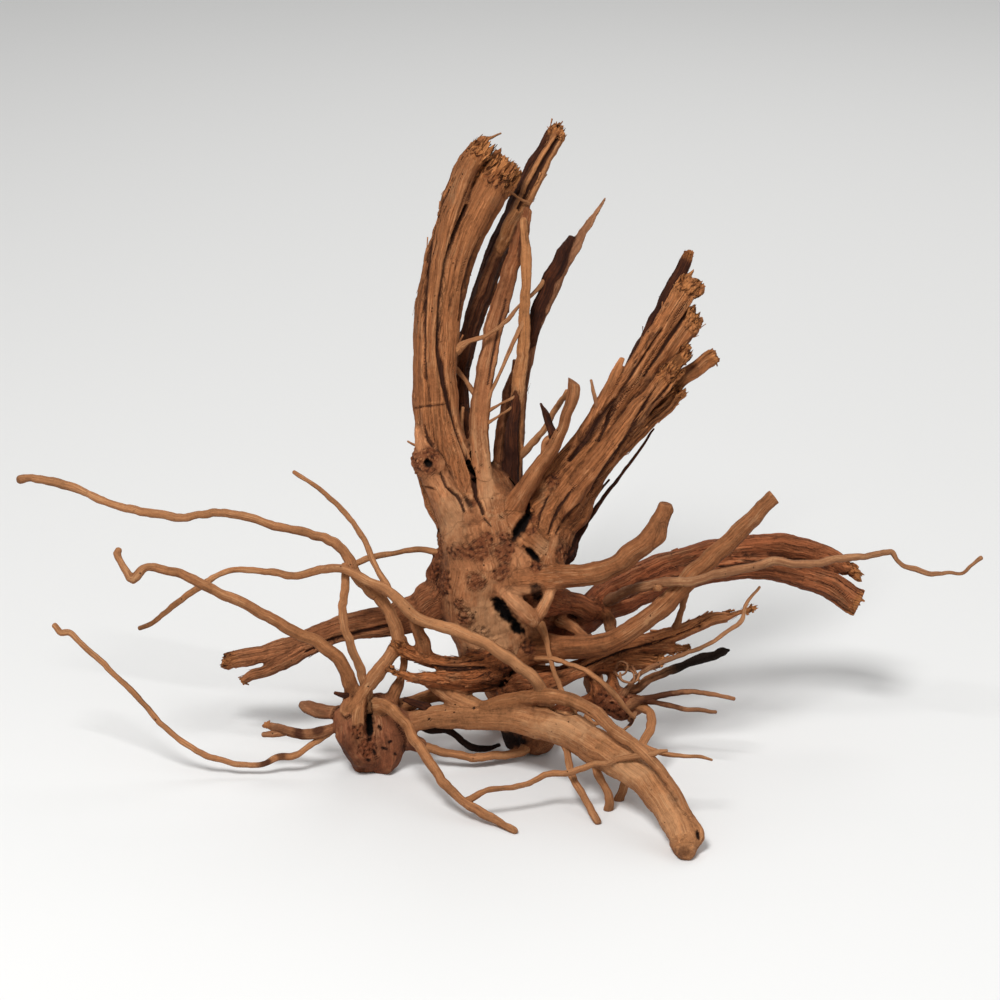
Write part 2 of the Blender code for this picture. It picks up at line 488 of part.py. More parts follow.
def hollow(index, across, up, nearer, width, length, lean, collection):
    """A cutter for a rotted hollow: a stretched ball that leans in the view."""
    shape = bmesh.new()
    bmesh.ops.create_icosphere(shape, subdivisions=2, radius=0.5 * MM)
    bmesh.ops.scale(shape, verts=shape.verts, vec=(width, width * 1.6, length))
    bmesh.ops.rotate(shape, verts=shape.verts, matrix=Matrix.Rotation(math.radians(lean), 3, "Y"))
    bmesh.ops.rotate(shape, verts=shape.verts, matrix=Matrix.Rotation(-VIEW_TILT, 3, "X"))
    bmesh.ops.translate(shape, verts=shape.verts, vec=place(across, up, nearer))
    mesh = bpy.data.meshes.new(f"hollow_{index}")
    shape.to_mesh(mesh)
    shape.free()
    collection.objects.link(bpy.data.objects.new(f"hollow_{index}", mesh))


def ground_cutter(collection):
    """Everything under the resting surface, which levels the feet."""
    shape = bmesh.new()
    bmesh.ops.create_cube(shape, size=1)
    bmesh.ops.translate(shape, verts=shape.verts, vec=(0, 0, -0.5))
    mesh = bpy.data.meshes.new("ground")
    shape.to_mesh(mesh)
    shape.free()
    collection.objects.link(bpy.data.objects.new("ground", mesh))


def combine(target, collection, operation):
    """Joins a collection to the target, or cuts it away, and applies that."""
    modifier = target.modifiers.new("combine", "BOOLEAN")
    modifier.operation = operation
    modifier.operand_type = "COLLECTION"
    modifier.collection = collection
    modifier.solver = "MANIFOLD"
    bpy.context.view_layer.update()
    graph = bpy.context.evaluated_depsgraph_get()
    mesh = bpy.data.meshes.new_from_object(target.evaluated_get(graph))
    target.modifiers.clear()
    target.data = mesh
    for piece in list(collection.objects):
        bpy.data.objects.remove(piece)
    bpy.data.collections.remove(collection)


def wood():
    """Dry root wood, mid brown and matt."""
    material = bpy.data.materials.new("root_wood")
    material.use_nodes = True
    shader = material.node_tree.nodes["Principled BSDF"]
    shader.inputs["Base Color"].default_value = (0.33, 0.17, 0.08, 1)
    shader.inputs["Roughness"].default_value = 0.75
    shader.inputs["Metallic"].default_value = 0
    return material


def tidy_body(mesh):
    """Merges the shortest edges, and drops the slivers that a union leaves in the crotches between limbs."""
    shape = bmesh.new()
    shape.from_mesh(mesh)
    bmesh.ops.triangulate(shape, faces=shape.faces)
    bmesh.ops.dissolve_degenerate(shape, dist=SHORTEST_EDGE * MM, edges=shape.edges)
    left = set(shape.verts)
    bodies = []
    while left:
        edge_of_body = [left.pop()]
        body = set(edge_of_body)
        while edge_of_body:
            vertex = edge_of_body.pop()
            found = {edge.other_vert(vertex) for edge in vertex.link_edges} & left
            left -= found
            body |= found
            edge_of_body.extend(found)
        bodies.append(body)
    largest = max(bodies, key=len)
    for body in bodies:
        if body is not largest:
            print(f"dropped a sliver of {len(body)} points")
            bmesh.ops.delete(shape, geom=list(body), context="VERTS")
    shape.to_mesh(mesh)
    shape.free()


def new_collection(name):
    collection = bpy.data.collections.new(name)
    bpy.context.scene.collection.children.link(collection)
    return collection


def main():
    for leftover in list(bpy.data.objects):
        bpy.data.objects.remove(leftover)
    part = new_collection(NAME)
    limbs = new_collection("limbs")
    cutters = new_collection("cutters")
    chance = random.Random(11)

    root = limb_solid("trunk", LIMBS["trunk"], part)
    root.name = NAME
    for name, route in LIMBS.items():
        if name != "trunk":
            limb_solid(name, route, limbs)
    for torn in TORN_ENDS:
        splinters(*torn, limbs, chance)
    for index, spot in enumerate(WARTS):
        wart(index, *spot, limbs)
    combine(root, limbs, "UNION")

    for index, spot in enumerate(HOLLOWS):
        hollow(index, *spot, cutters)
    ground_cutter(cutters)
    combine(root, cutters, "DIFFERENCE")
    tidy_body(root.data)

    root.data.name = NAME
    root.data.materials.clear()
    root.data.materials.append(wood())
    root.data.set_sharp_from_angle(angle=math.radians(40))


main()
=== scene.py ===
import itertools
import json
import math
import random
import time
import bmesh
import bpy
import numpy as np
from mathutils import Matrix, Vector

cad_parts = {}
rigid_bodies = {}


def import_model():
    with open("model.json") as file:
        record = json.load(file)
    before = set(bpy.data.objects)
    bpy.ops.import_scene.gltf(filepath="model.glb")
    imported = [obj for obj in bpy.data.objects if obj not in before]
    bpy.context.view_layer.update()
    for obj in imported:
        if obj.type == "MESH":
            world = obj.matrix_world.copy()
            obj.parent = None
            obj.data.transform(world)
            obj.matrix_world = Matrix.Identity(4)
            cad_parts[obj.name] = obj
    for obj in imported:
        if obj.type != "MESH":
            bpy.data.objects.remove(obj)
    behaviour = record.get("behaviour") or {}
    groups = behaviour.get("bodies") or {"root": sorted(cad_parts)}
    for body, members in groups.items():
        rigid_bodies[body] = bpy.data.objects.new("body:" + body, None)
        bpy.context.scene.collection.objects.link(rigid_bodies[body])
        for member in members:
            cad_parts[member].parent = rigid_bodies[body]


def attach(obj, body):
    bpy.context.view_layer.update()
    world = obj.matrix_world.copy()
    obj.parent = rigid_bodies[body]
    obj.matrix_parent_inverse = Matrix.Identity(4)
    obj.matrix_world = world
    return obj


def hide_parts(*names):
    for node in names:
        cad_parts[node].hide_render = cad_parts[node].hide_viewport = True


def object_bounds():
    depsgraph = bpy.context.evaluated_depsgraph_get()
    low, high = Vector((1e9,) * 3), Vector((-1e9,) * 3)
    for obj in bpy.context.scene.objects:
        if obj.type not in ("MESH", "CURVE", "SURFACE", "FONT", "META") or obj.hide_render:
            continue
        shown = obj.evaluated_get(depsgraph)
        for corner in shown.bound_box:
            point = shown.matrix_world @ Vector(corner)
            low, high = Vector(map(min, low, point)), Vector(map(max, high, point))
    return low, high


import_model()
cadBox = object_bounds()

startTime = time.time()

# How the photograph looks at the root. Routes are in millimetres as seen from there.
photoView = {
    "tilt": math.radians(20),   # looking down by this much
    "eyeReach": 1800,           # from the eye to the middle of the view
    "middle": (2, 33, 127),
    "lens": 129.6,
    "sensor": 36,
}

# Limbs: (across, up, nearer the eye, thickness). A None lets the end rest on the floor.
trunkLimbs = {
    "trunk": [
        (15, -119, -30, 24), (11, -104, -28, 26), (5, -84, -22, 33), (0, -66, -13, 44), (-3, -48, -6, 50),
        (-4, -31, 0, 54), (-5, -16, 2, 50), (-8, -3, 2, 38), (-10, 9, 1, 25), (-11, 19, -1, 12),
    ],
    "trunk_foot": [(13, -96, -30, 22), (16, -110, -32, 24), (19, -119, None, 20)],
    "heel_root": [(3, -70, -22, 30), (4, -86, -45, 21), (3, -96, -64, 16), (1, -102, None, 14)],
    "rear_root": [
        (8, -44, -20, 26), (24, -52, -38, 18), (36, -62, -54, 13.5), (43, -73, -66, 11), (46, -84, -72, 9.5),
        (47, -95, None, 9),
    ],
    "collar": [(-40, 35, 6, 8), (-37, 22, 12, 12), (-31, 9, 14, 14), (-24, -5, 12, 18.4), (-16, -17, 9, 22)],
    "knot": [(-31.5, 13.5, 17, 5), (-29.8, 17.5, 19, 6.4), (-31.5, 22, 18, 5)],
    "knot_left": [(-37, 14, 15, 5), (-41.5, 17.5, 13, 6), (-40.5, 22.5, 13, 5.4), (-36, 24.5, 15, 5)],
    "knot_low": [(-40, 15.5, 13, 5), (-36, 13, 17, 5.4), (-31.5, 13.5, 18, 5)],
    "branch_fill": [(4, -22, 14, 18), (10, -31, 17, 16), (13, -40, 17, 15), (12, -48, 12, 14)],
    "stub_low": [(1, -45, 18, 10), (7.5, -51.5, 23, 10), (13.5, -57.5, 24, 9), (17.5, -61, 24, 6)],
    "stub_level": [(-6, -45, 16, 7), (6, -45, 22, 6), (14, -44.5, 25, 5.5), (19.5, -44, 25, 4)],
    "stub_flat": [(28, -40, 21, 6), (24, -48.5, 22, 6), (20.5, -56, 22, 6), (17, -62, 20, 4)],
    "fin": [(28, -14, 17, 2.6), (26.5, -22.5, 19, 5), (24, -31, 19, 8)],
    "dark_clump": [(26, -31, 3, 13), (32.5, -25.5, 3, 12), (36, -21, 2, 9), (38, -15.5, 1, 6)],
    "fold_upper": [(6, -12, 14, 20), (14, -20, 16, 18), (22, -26, 14, 16), (27, -34, 14, 12)],
    "fold_lower": [(27, -34, 12, 12), (19, -44, 12, 12), (10, -52, 8, 16)],
    "fold_side": [(26, -10, 10, 18), (24, -22, 8, 18), (19, -34, 4, 20)],
}

leftShard = {
    "left_shard_outer": [
        (-16, -22, 2, 22), (-31, 4, 2, 16), (-38.5, 40, 4, 10.5), (-40, 66, 5, 9), (-37.5, 103, 6, 9),
        (-30, 134, 6, 8.5), (-20.5, 162, 6, 9), (-12.5, 175, 6, 8.5), (-8, 180, 6, 7),
    ],
    "left_shard_middle": [
        (-14, -24, 6, 20), (-28, 8, 7, 15), (-33.5, 45, 9.5, 12), (-34, 85, 11, 10.5), (-31, 110, 11, 11),
        (-23, 147, 12, 11.5), (-12, 172, 11.5, 11.5), (-6, 177.5, 11, 8),
    ],
    "left_shard_inner": [
        (-9, -22, 6, 26), (-20, 12, 7, 18), (-27, 50, 9, 12.5), (-26.5, 88.5, 9, 13.5), (-19.5, 123, 8, 17),
        (-11.5, 144, 7, 18), (-3.5, 159, 6, 18.5), (3.5, 168, 5, 17),
    ],
}

standingShards = {
    "tall_shard_dark": [
        (-12, -10, -6, 18), (-17.5, 22, -8, 10.5), (-20, 58, -11, 8.6), (-15.5, 80, -12, 8.6), (-3, 116.5, -14, 9.6),
        (12.5, 152, -16, 9), (29.5, 187, -18, 7.4),
    ],
    "tall_shard_pale": [
        (-5, 109, -12.5, 1.2), (-2.5, 117, -12, 3.2), (0.5, 126, -11.5, 6), (4.5, 134, -10.5, 8),
        (11.5, 147.5, -11, 7), (21.5, 167.5, -12, 6.5), (31, 184, -13, 6.5),
    ],
    "leg_shard": [
        (14, 145, -10, 5.5), (9, 127, -7, 8), (1.5, 102, -3.5, 8.6), (-4.5, 78, 0.5, 9), (-9.5, 50, 4.5, 9.5),
        (-11, 35, 7, 9.5), (-9.2, 19, 9, 10.5), (-7.5, 10, 11, 11.5), (-3.5, 0, 12, 12.5), (0, -10, 11, 18),
    ],
    "pale_rod": [
        (11.5, 140, -3, 3.6), (13, 120, -1.5, 5), (12, 88.5, 0, 5.4), (9.5, 54.5, -1, 6.6), (7.6, 35, -3, 7.4),
        (6.5, 17.5, -4, 8.4), (4, -4, -4, 13),
    ],
    "spiked_shard": [
        (52.5, 151, -22, 1.2), (48.5, 144, -22, 2.4), (43.5, 136.5, -21.5, 3.8), (37.5, 127, -20, 6),
        (26.5, 108, -18, 7.4), (15.5, 82, -14, 7), (11, 55, -10, 7), (5, 4, -6, 12),
    ],
    "spike_bark": [
        (35, 130.5, -18.5, 4.5), (31, 121.5, -17, 7), (24, 107, -16, 8), (16.5, 88, -14, 7.4), (13, 72, -12, 6.4),
    ],
    "tall_bark": [
        (25, 184, -19, 4), (14, 162, -18, 6), (2, 136, -17, 6.5), (-9, 108, -15, 6.5), (-17.5, 82, -13, 6),
        (-20.5, 62, -12, 5),
    ],
    "rod_bark": [
        (9.8, 66, -0.5, 1), (8.8, 58, 0.5, 2.6), (7.2, 47, 1.2, 5), (5.6, 33, 1.5, 6.4), (5, 18, 1, 7),
        (5.5, 2, 0, 8),
    ],
    "dark_strip": [(8, 70, -8, 3.6), (4, 50, -8, 6), (1, 30, -7, 7), (-1, 4, -5, 11)],
    "finger_stick": [
        (-4, -14, 10, 20), (1, -8, 13, 17), (7, -2, 16, 12.5), (13, 6.5, 19, 9.6), (21, 19, 21, 8),
        (27.5, 29, 22, 7.4), (32, 38, 23, 7), (35, 49, 24, 6.8), (36.5, 57, 24, 6.2), (36, 61, 24, 4.8),
    ],
    "thorn_upper": [(27, 32, 18, 4.6), (23.5, 41, 14, 3.8), (20.5, 48, 13, 1.4)],
    "thorn_lower": [(27, 33, 18, 4), (23, 28, 15, 3.6), (22, 23, 16, 3.4), (20, 18, 18, 4)],
}

rightBundle = {
    "bundle_base": [
        (6, -34, 4, 34), (17, -18, 6, 31), (26.5, -5, 7, 28.5), (35, 8, 7, 24.5), (45.5, 22, 7, 20), (56, 36, 7, 15),
    ],
    "bundle_left": [
        (24, 4, 8, 16), (42, 29.5, 8, 13), (57.5, 50.5, 8, 11.5), (75.5, 77, 6, 11), (91, 101, 4, 12),
        (97.5, 109, 3, 11.5),
    ],
    "bundle_back": [(36, 10, 3, 18), (54, 36, 3, 14.5), (74, 60, 3, 14), (93, 86, 1, 12.5), (98, 93, 0, 10)],
    "bundle_notched": [(37.5, 8, 13, 12), (58, 32, 14, 9.5), (80, 59, 13, 8.5), (95, 76, 11, 6.5)],
    "bundle_peg": [(50, 15, 3, 9), (72, 42, 2, 8.4), (88, 57.5, 2, 7.6), (100, 67, 2, 7.4), (108, 72.5, 2, 7.5)],
    "bundle_front": [(33, -4, 15, 15), (53, 23, 16.5, 12.5), (72.5, 47.5, 17, 12), (88.5, 66, 15, 11)],
    "bundle_right": [(30, -12, 7, 12), (48.5, 14.5, 8, 9.5), (71, 36.5, 8, 8), (91.5, 55, 8, 6)],
    "bundle_spur": [(42, 30, 10, 8), (51.5, 50, 12, 5.6), (56.5, 60, 12, 4.6), (61, 70.5, 12, 2.4)],
    "dark_spike": [
        (42, 22, 3, 10), (55, 42, -2, 8), (67, 67, -7, 6.8), (76, 86.5, -10, 6.2), (84.5, 103, -11, 6.4),
        (92, 118, -12, 6.4), (95.5, 125, -12, 4),
    ],
    "bristle_long": [
        (36, -22, 1, 6), (46, -7.5, 3, 2.4), (54.5, 4.5, 4, 1.9), (64, 17, 4, 1.7), (72, 28.5, 4, 1.5),
        (77, 35.5, 4, 1),
    ],
    "bristle_short": [(35, -20, 0, 6), (42.5, -8, 0, 2.2), (48.5, 2.5, -1, 1.8), (54.5, 10, -1, 1.2)],
}

leftRoots = {
    "burl_middle": [(-67, -104, 2, 18), (-65, -116, 2, 26), (-64, -125, 1, 24)],
    "burl_left": [
        (-73, -100, 9, 11), (-75.5, -108, 10, 16), (-74, -117, 10, 18), (-69.5, -125, 7, 18), (-68, -130.5, None, 14),
    ],
    "burl_right": [
        (-62, -102, 3, 12), (-57, -111, 5, 19), (-56, -121, 5, 21), (-58, -128, 3, 18), (-60, -131, None, 14),
    ],
    "burl_skirt": [(-54, -112, 4, 18), (-47, -119, 3, 13), (-40, -122.5, 1, 7)],
    "burl_rod": [(-70, -99, 15, 7), (-70.5, -107, 17, 6.4), (-70.5, -116, 16.5, 6), (-71, -122, 13, 5)],
    "burl_knob": [(-76, -101, 12, 6), (-76.5, -104.5, 15, 7), (-78, -108, 14, 6)],
    "burl_lash": [
        (-77.5, -107, 17, 3), (-69.5, -99, 16, 6), (-62.5, -88.5, 14, 7.5), (-56, -79.5, 12, 7), (-50, -70, 10, 7),
    ],
    "long_root": [
        (-49, -76, 9, 7), (-51.5, -64, 10, 7), (-56, -54.5, 10, 6.5), (-67, -43.5, 9, 6), (-73, -36, 9, 5.8),
        (-78.5, -26, 9, 5.5), (-85, -20.5, 8, 5.2), (-96, -16.5, 7, 4.8), (-110, -13.5, 6, 4.6), (-125, -9.5, 5, 4.6),
        (-141, -6.5, 3, 4.4), (-150.5, -7.5, 2, 4.4), (-158.5, -9, 1, 4.2), (-170.5, -7, 0, 4.2),
        (-182.5, -5, -2, 4.2), (-194, -2, -4, 4.2), (-202, 1.3, -5, 4.4), (-210, 5.3, -6, 4.6), (-219.5, 8, -8, 4.4),
        (-230, 10, -9, 4.4), (-236.5, 11, -10, 4), (-239.6, 11, -10, 4.4),
    ],
    "hooked_root": [
        (-70, -103, 6, 9), (-74, -94, 12, 8), (-77.5, -85, 18, 7.5), (-83.5, -77, 24, 7), (-90.5, -72, 28, 6.8),
        (-104.5, -65, 32, 6.5), (-122, -55, 36, 6), (-136, -48, 39, 5.6), (-150.5, -41, 41, 5.2),
        (-162.5, -36.5, 42, 5), (-171, -34, 43, 4.8), (-177.5, -33.5, 44, 4.6), (-181, -37.5, 45, 5),
        (-184, -40, 46, 5), (-187, -35.5, 45, 4), (-189.8, -30, 43, 3.4), (-191.3, -27, 42, 4.6),
        (-190.4, -25, 42, 3.8),
    ],
    "crossing_root": [
        (-180.5, -64, 14, 2.8), (-174.5, -62, 14, 2.8), (-168.5, -57, 14, 3), (-160.5, -50.5, 14, 3.2),
        (-153, -45.5, 14, 3.2), (-144, -39, 15, 3.2), (-134, -35, 15, 3.4), (-122, -35.5, 16, 3.4),
        (-111.5, -36.5, 16, 3.6), (-102.5, -38, 17, 3.8), (-92.5, -36, 18, 4), (-80, -34, 19, 4.4),
        (-73, -37, 19, 4.8), (-66, -41, 20, 5), (-56.5, -45, 21, 5.2), (-50.5, -50, 22, 5.6), (-43.5, -58, 23, 6.4),
        (-24.5, -64.5, 26, 6.2), (-7.5, -71.5, 28, 6.4), (5.5, -80, 30, 6.6), (18.5, -91, 28, 7), (23, -99, 24, 7),
    ],
    "upright_twig": [
        (-103, 14, 2, 2), (-97.5, 10.5, 3, 2.2), (-89, 4.5, 5, 2.4), (-82.5, -1, 7, 2.6), (-75, -9, 9, 2.8),
        (-69.5, -17.5, 12, 3), (-63, -31, 16, 3.2), (-55, -45.5, 21, 3.4),
    ],
    "level_twig": [
        (-22, -26, 4, 5), (-31, -26, 3, 3), (-39.5, -24.5, 3, 2.8), (-50, -26, 4, 2.8), (-62.5, -28.5, 6, 3),
        (-69, -30.5, 8, 3.2), (-76, -33, 9, 3),
    ],
    "post_root": [
        (-77, -33, 14, 4), (-78, -45, 15, 4.2), (-78.5, -54, 16, 4.2), (-76, -70, 16, 4.2), (-70, -85.5, 13, 4.6),
        (-66.5, -95, 10, 5.4), (-65.5, -104, 6, 8),
    ],
    "split_root_upper": [
        (-14, -28, 0, 28), (-23, -40, -4, 25), (-32, -51, -8, 20), (-43, -57, -11, 16.5), (-59, -61.5, -15, 13.5),
        (-73, -63.5, -18, 12.5), (-87.5, -67.5, -21, 11.5), (-106, -74, -25, 9.6), (-121, -78, -28, 8.8),
        (-137.5, -81.5, -31, 7.6),
    ],
    "split_root_lower": [
        (-84, -68, -20, 9), (-101, -77.5, -20, 6.8), (-112.5, -83, -22, 6), (-122.5, -87.5, -24, 5.4),
        (-130, -91, -25, 4),
    ],
    "jaw_upper": [
        (0, -80, 2, 16), (-12, -81.5, 6, 10), (-22, -82, 9, 8), (-31, -81, 10, 7.6), (-39, -78.5, 11, 7.2),
        (-46, -75.5, 12, 7), (-50.5, -73, 12, 6.4), (-54, -71.5, 11, 4),
    ],
    "jaw_lower": [
        (-2, -87, 2, 16), (-15, -90, 8, 11), (-28, -89.5, 12, 8), (-37.5, -89, 13, 6.8), (-43.5, -88, 14, 4.6),
        (-57, -84.5, 14, 1.6),
    ],
    "knuckle": [(-43, -58, 21, 6), (-41, -66, 16, 6.6), (-38.5, -73, 12, 8.4), (-37.5, -80, 9, 9.6)],
    "prop_root": [(-49, -68, 9, 5), (-48, -79, 6, 4), (-49.5, -87, 4, 4.6), (-52, -95, 3, 6.4), (-56, -104, 3, 10)],
    "near_leg": [
        (-64, -103, 8, 9), (-56, -103.5, 19, 6.4), (-48.5, -111, 27, 6), (-43, -119, 34, 5.8), (-38, -127, 40, 5.6),
        (-33.5, -134, 46, 5.4), (-28, -142, 51, 5.2), (-19, -150, 57, 5), (-11, -155, 60, 5), (-1, -160, 63, 4.8),
        (8, -165.5, None, 4.6),
    ],
    "back_runner": [
        (-58, -120, 0, 10), (-44, -121, -1, 5.6), (-35, -123.5, 0, 4.8), (-24.5, -127, 0, 4.6), (-16, -128.5, 0, 4.6),
        (-3, -128, -3, 4.6), (9.5, -126, -8, 4.8), (18, -121, -18, 8),
    ],
    "black_root": [
        (-42, -111, 0, 6), (-32.5, -115, -3, 4.6), (-26.5, -115.5, -4, 4), (-16, -122.5, -6, 4),
        (-11, -124.5, -7, 3.8), (-0.5, -122.5, -8, 2.2),
    ],
    "wedge_stub": [
        (-72, -107, 4, 12), (-83, -106, 5, 7.6), (-90, -105, 5, 8), (-96, -103.5, 5, 7), (-98.8, -102.6, 5, 5),
    ],
    "forked_stub": [
        (-74, -111, 6, 7), (-87, -115.5, 7, 5), (-95, -117, 8, 5.2), (-102.5, -116.5, 8, 5.4), (-110.5, -114, 8, 4.6),
        (-118.5, -112, 8, 2.8),
    ],
    "forked_stub_tine": [(-107, -115.5, 8, 4.4), (-113, -116.5, 8, 3.6), (-118.5, -117, 8, 2.8)],
    "low_left_root": [
        (-76, -111, 5, 6), (-82.5, -114, 5, 4), (-94, -122, 7, 3), (-103.5, -128, 8, 3.4), (-111, -128.5, 8, 3.4),
        (-120.5, -132.5, 8, 3), (-134, -131.5, 8, 3), (-147.5, -127.5, 8, 3), (-158.5, -121, 8, 3),
        (-168.5, -112.5, 8, 2.9), (-179, -101, 8, 2.8), (-189, -91, 8, 2.8), (-199, -81.5, 8, 2.8),
        (-206, -75.5, 8, 2.8), (-211, -70, 8, 2.9), (-215.5, -66.5, 8, 2.9), (-219.5, -66.5, 8, 2.9),
        (-223, -63, 8, 2.8),
    ],
    "saddle": [
        (-56, -106, -3, 10), (-44, -102, -5, 8.4), (-35, -98, -4, 9), (-26, -97, 0, 9.4), (-17, -101, 4, 9),
        (-8, -105, 8, 9),
    ],
    "saddle_front": [(-38, -90, 8, 5), (-30, -95, 7, 7.4), (-21, -100, 8, 8.4), (-10, -105, 10, 9)],
}

rightRoots = {
    "cut_peg": [(78, -43.5, 16, 4.5), (78.8, -43.8, 20, 3.8), (79.2, -44.2, 22, 3.4)],
    "round_knob": [(50, -52, -20, 6), (54, -58, -14, 6), (55.5, -62.5, -8, 7), (54.5, -65, -4, 6)],
    "curved_branch": [
        (2, -36, 12, 24), (12, -39, 18, 18), (21.5, -39, 20, 14), (34, -38, 22, 10.8), (47.5, -36.5, 25, 9.8),
        (59, -32, 26, 9.6), (67.5, -25.5, 28, 10), (75.5, -18.5, 29, 10.6), (79.5, -11, 29, 10), (83, -3, 29, 8.6),
    ],
    "branch_knob": [(77, -21, 30, 6), (79.5, -18, 32, 7), (80.5, -13, 32, 6)],
    "branch_end": [(82, -6, 29, 7), (84.5, -4, 29, 7), (85.5, -6, 29, 5)],
    "shoulder": [(8, -44, 8, 26), (24, -49, 2, 16), (35, -51, -6, 11), (46, -56, -16, 12)],
    "back_root_upper": [
        (16, -58, -14, 24), (30, -62, -18, 18), (45, -55, -22, 16), (60.5, -43, -26, 15), (85, -32, -31, 13.5),
        (112, -25, -36, 13), (147.5, -24.5, -39, 13), (165, -30, -40, 11), (181, -37.5, -40, 4.4),
    ],
    "back_root_lower": [
        (30, -68, -16, 16), (55, -53, -22, 15), (80, -43, -26.5, 12.6), (111.5, -35, -31, 11.4),
        (140, -35.5, -33.5, 11), (162.5, -42, -35, 12.5), (180, -51.5, -35, 12),
    ],
    "straight_branch": [
        (6, -76, -8, 22), (22, -74, 1, 14), (36, -74, 7, 11), (55, -71.5, 12, 10.2), (70.5, -62, 14, 9.8),
        (101.5, -33, 15, 9.4), (138, 1.5, 12, 7.4),
    ],
    "long_right_root": [
        (46, -55, -25, 6.4), (54, -50.5, -15, 5.8), (62, -46.5, -1, 5.2), (71, -43.5, 12, 4.8), (84, -41, 21, 4.6),
        (99, -40, 24, 4.4), (109.5, -36.5, 22, 4.6), (127, -33.5, 20, 4.3), (137, -31, 18, 4.2),
        (147.5, -32.5, 17, 4), (162.5, -31, 16, 3.8), (175.5, -29, 15, 3.4), (188.5, -27, 14, 3),
        (196.5, -26.5, 14, 2.7), (199, -30.5, 14, 2.5), (203, -33.5, 14, 2.5), (209, -35.5, 14, 2.3),
        (216, -37, 14, 2.3), (225, -36, 15, 2.1), (231, -36.5, 15, 1.9), (236, -32.5, 16, 1.9), (240.5, -29, 16, 2.5),
    ],
    "torn_slab": [
        (6, -92, -6, 22), (20, -91, -4, 15), (38, -85.5, -3.5, 10.5), (56, -76, -6, 10), (79, -70, -9, 9),
        (106, -60, -11, 6), (129, -53, -11, 2.4),
    ],
    "torn_slab_lobe": [
        (46, -82, -6, 11), (60, -81.5, -6, 9), (72, -80.5, -6, 8), (78, -81, -6, 6), (83, -79, -6, 2.6),
    ],
    "torn_slab_teeth": [(74, -73, -8, 9), (84, -73.5, -8, 6), (90, -74, -8, 3.6), (97, -73, -8, 1.4)],
    "slab_twig": [(92.5, -46, 10, 4), (90.5, -56, 0, 3), (87.5, -64, -8, 4)],
    "peg": [(30, -60, -4, 6), (38, -65, 1, 4.6), (46, -71, 8, 5)],
    "right_burl": [
        (48, -95, -8, 9), (54, -100, -6, 15), (60, -102.5, -4, 17), (66, -103.5, -3, 12), (71, -102, 0, 6),
    ],
    "burl_neck": [(44, -82, -6, 9), (47, -89, -7, 6.4), (49.5, -97, -6, 10)],
    "burl_neck_right": [(58, -78, -6, 8), (56.5, -86, -6, 4.6), (55.5, -95, -5, 9)],
    "burl_tie": [(14, -112, -22, 12), (27, -107.5, -14, 7), (38.5, -102, -9, 6.2), (50, -99.5, -6, 9)],
    "black_tip_stick": [
        (56, -101, -3, 6), (71, -92, -3, 4.2), (79, -88, -3.5, 3.6), (86.5, -84.5, -4, 4.4), (93, -82, -4.5, 3.6),
        (102, -79, -5, 4.8), (108, -77, -5, 4), (111, -76, -5, 4.4), (114.5, -75, -5, 1.2),
    ],
    "whip_twig": [
        (60, -99, 0, 4), (66.5, -91, 3, 2.4), (71, -86.5, 4, 2.2), (86.5, -79, 5, 2.2), (105.5, -71.5, 5, 2.1),
        (114, -65.5, 5, 2), (121, -59.5, 5, 2.2), (122.5, -53.5, 5, 1.8), (130, -43.5, 5, 1.3),
    ],
    "tine_upper": [
        (62, -103, 0, 7), (72.5, -99, 6, 3.8), (79, -98, 7, 3), (94, -96, 9, 2.6), (105, -97.3, 10, 2.4),
        (117, -99.5, 11, 2),
    ],
    "tine_lower": [(70, -100, 4, 4), (79, -101.5, 9, 2.8), (94, -104.5, 12, 2.4), (108, -106, 15, 2.1)],
    "arching_twig": [
        (17, -79, -3, 4.4), (21, -79.2, 8, 3.2), (27, -79.8, 15, 3), (33, -81.5, 20, 3), (46, -87.5, 26, 3),
        (53, -93.5, 26, 3), (60, -101, 20, 2.8), (67, -108.5, 12, 2.4),
    ],
    "drop_twig": [
        (20, -62, 6, 5), (24.5, -75, 12, 2.6), (27, -86, 15, 2.6), (30.5, -94.5, 19, 2.6), (36, -103, 22, 2.6),
        (40, -111, 26, 3),
    ],
}

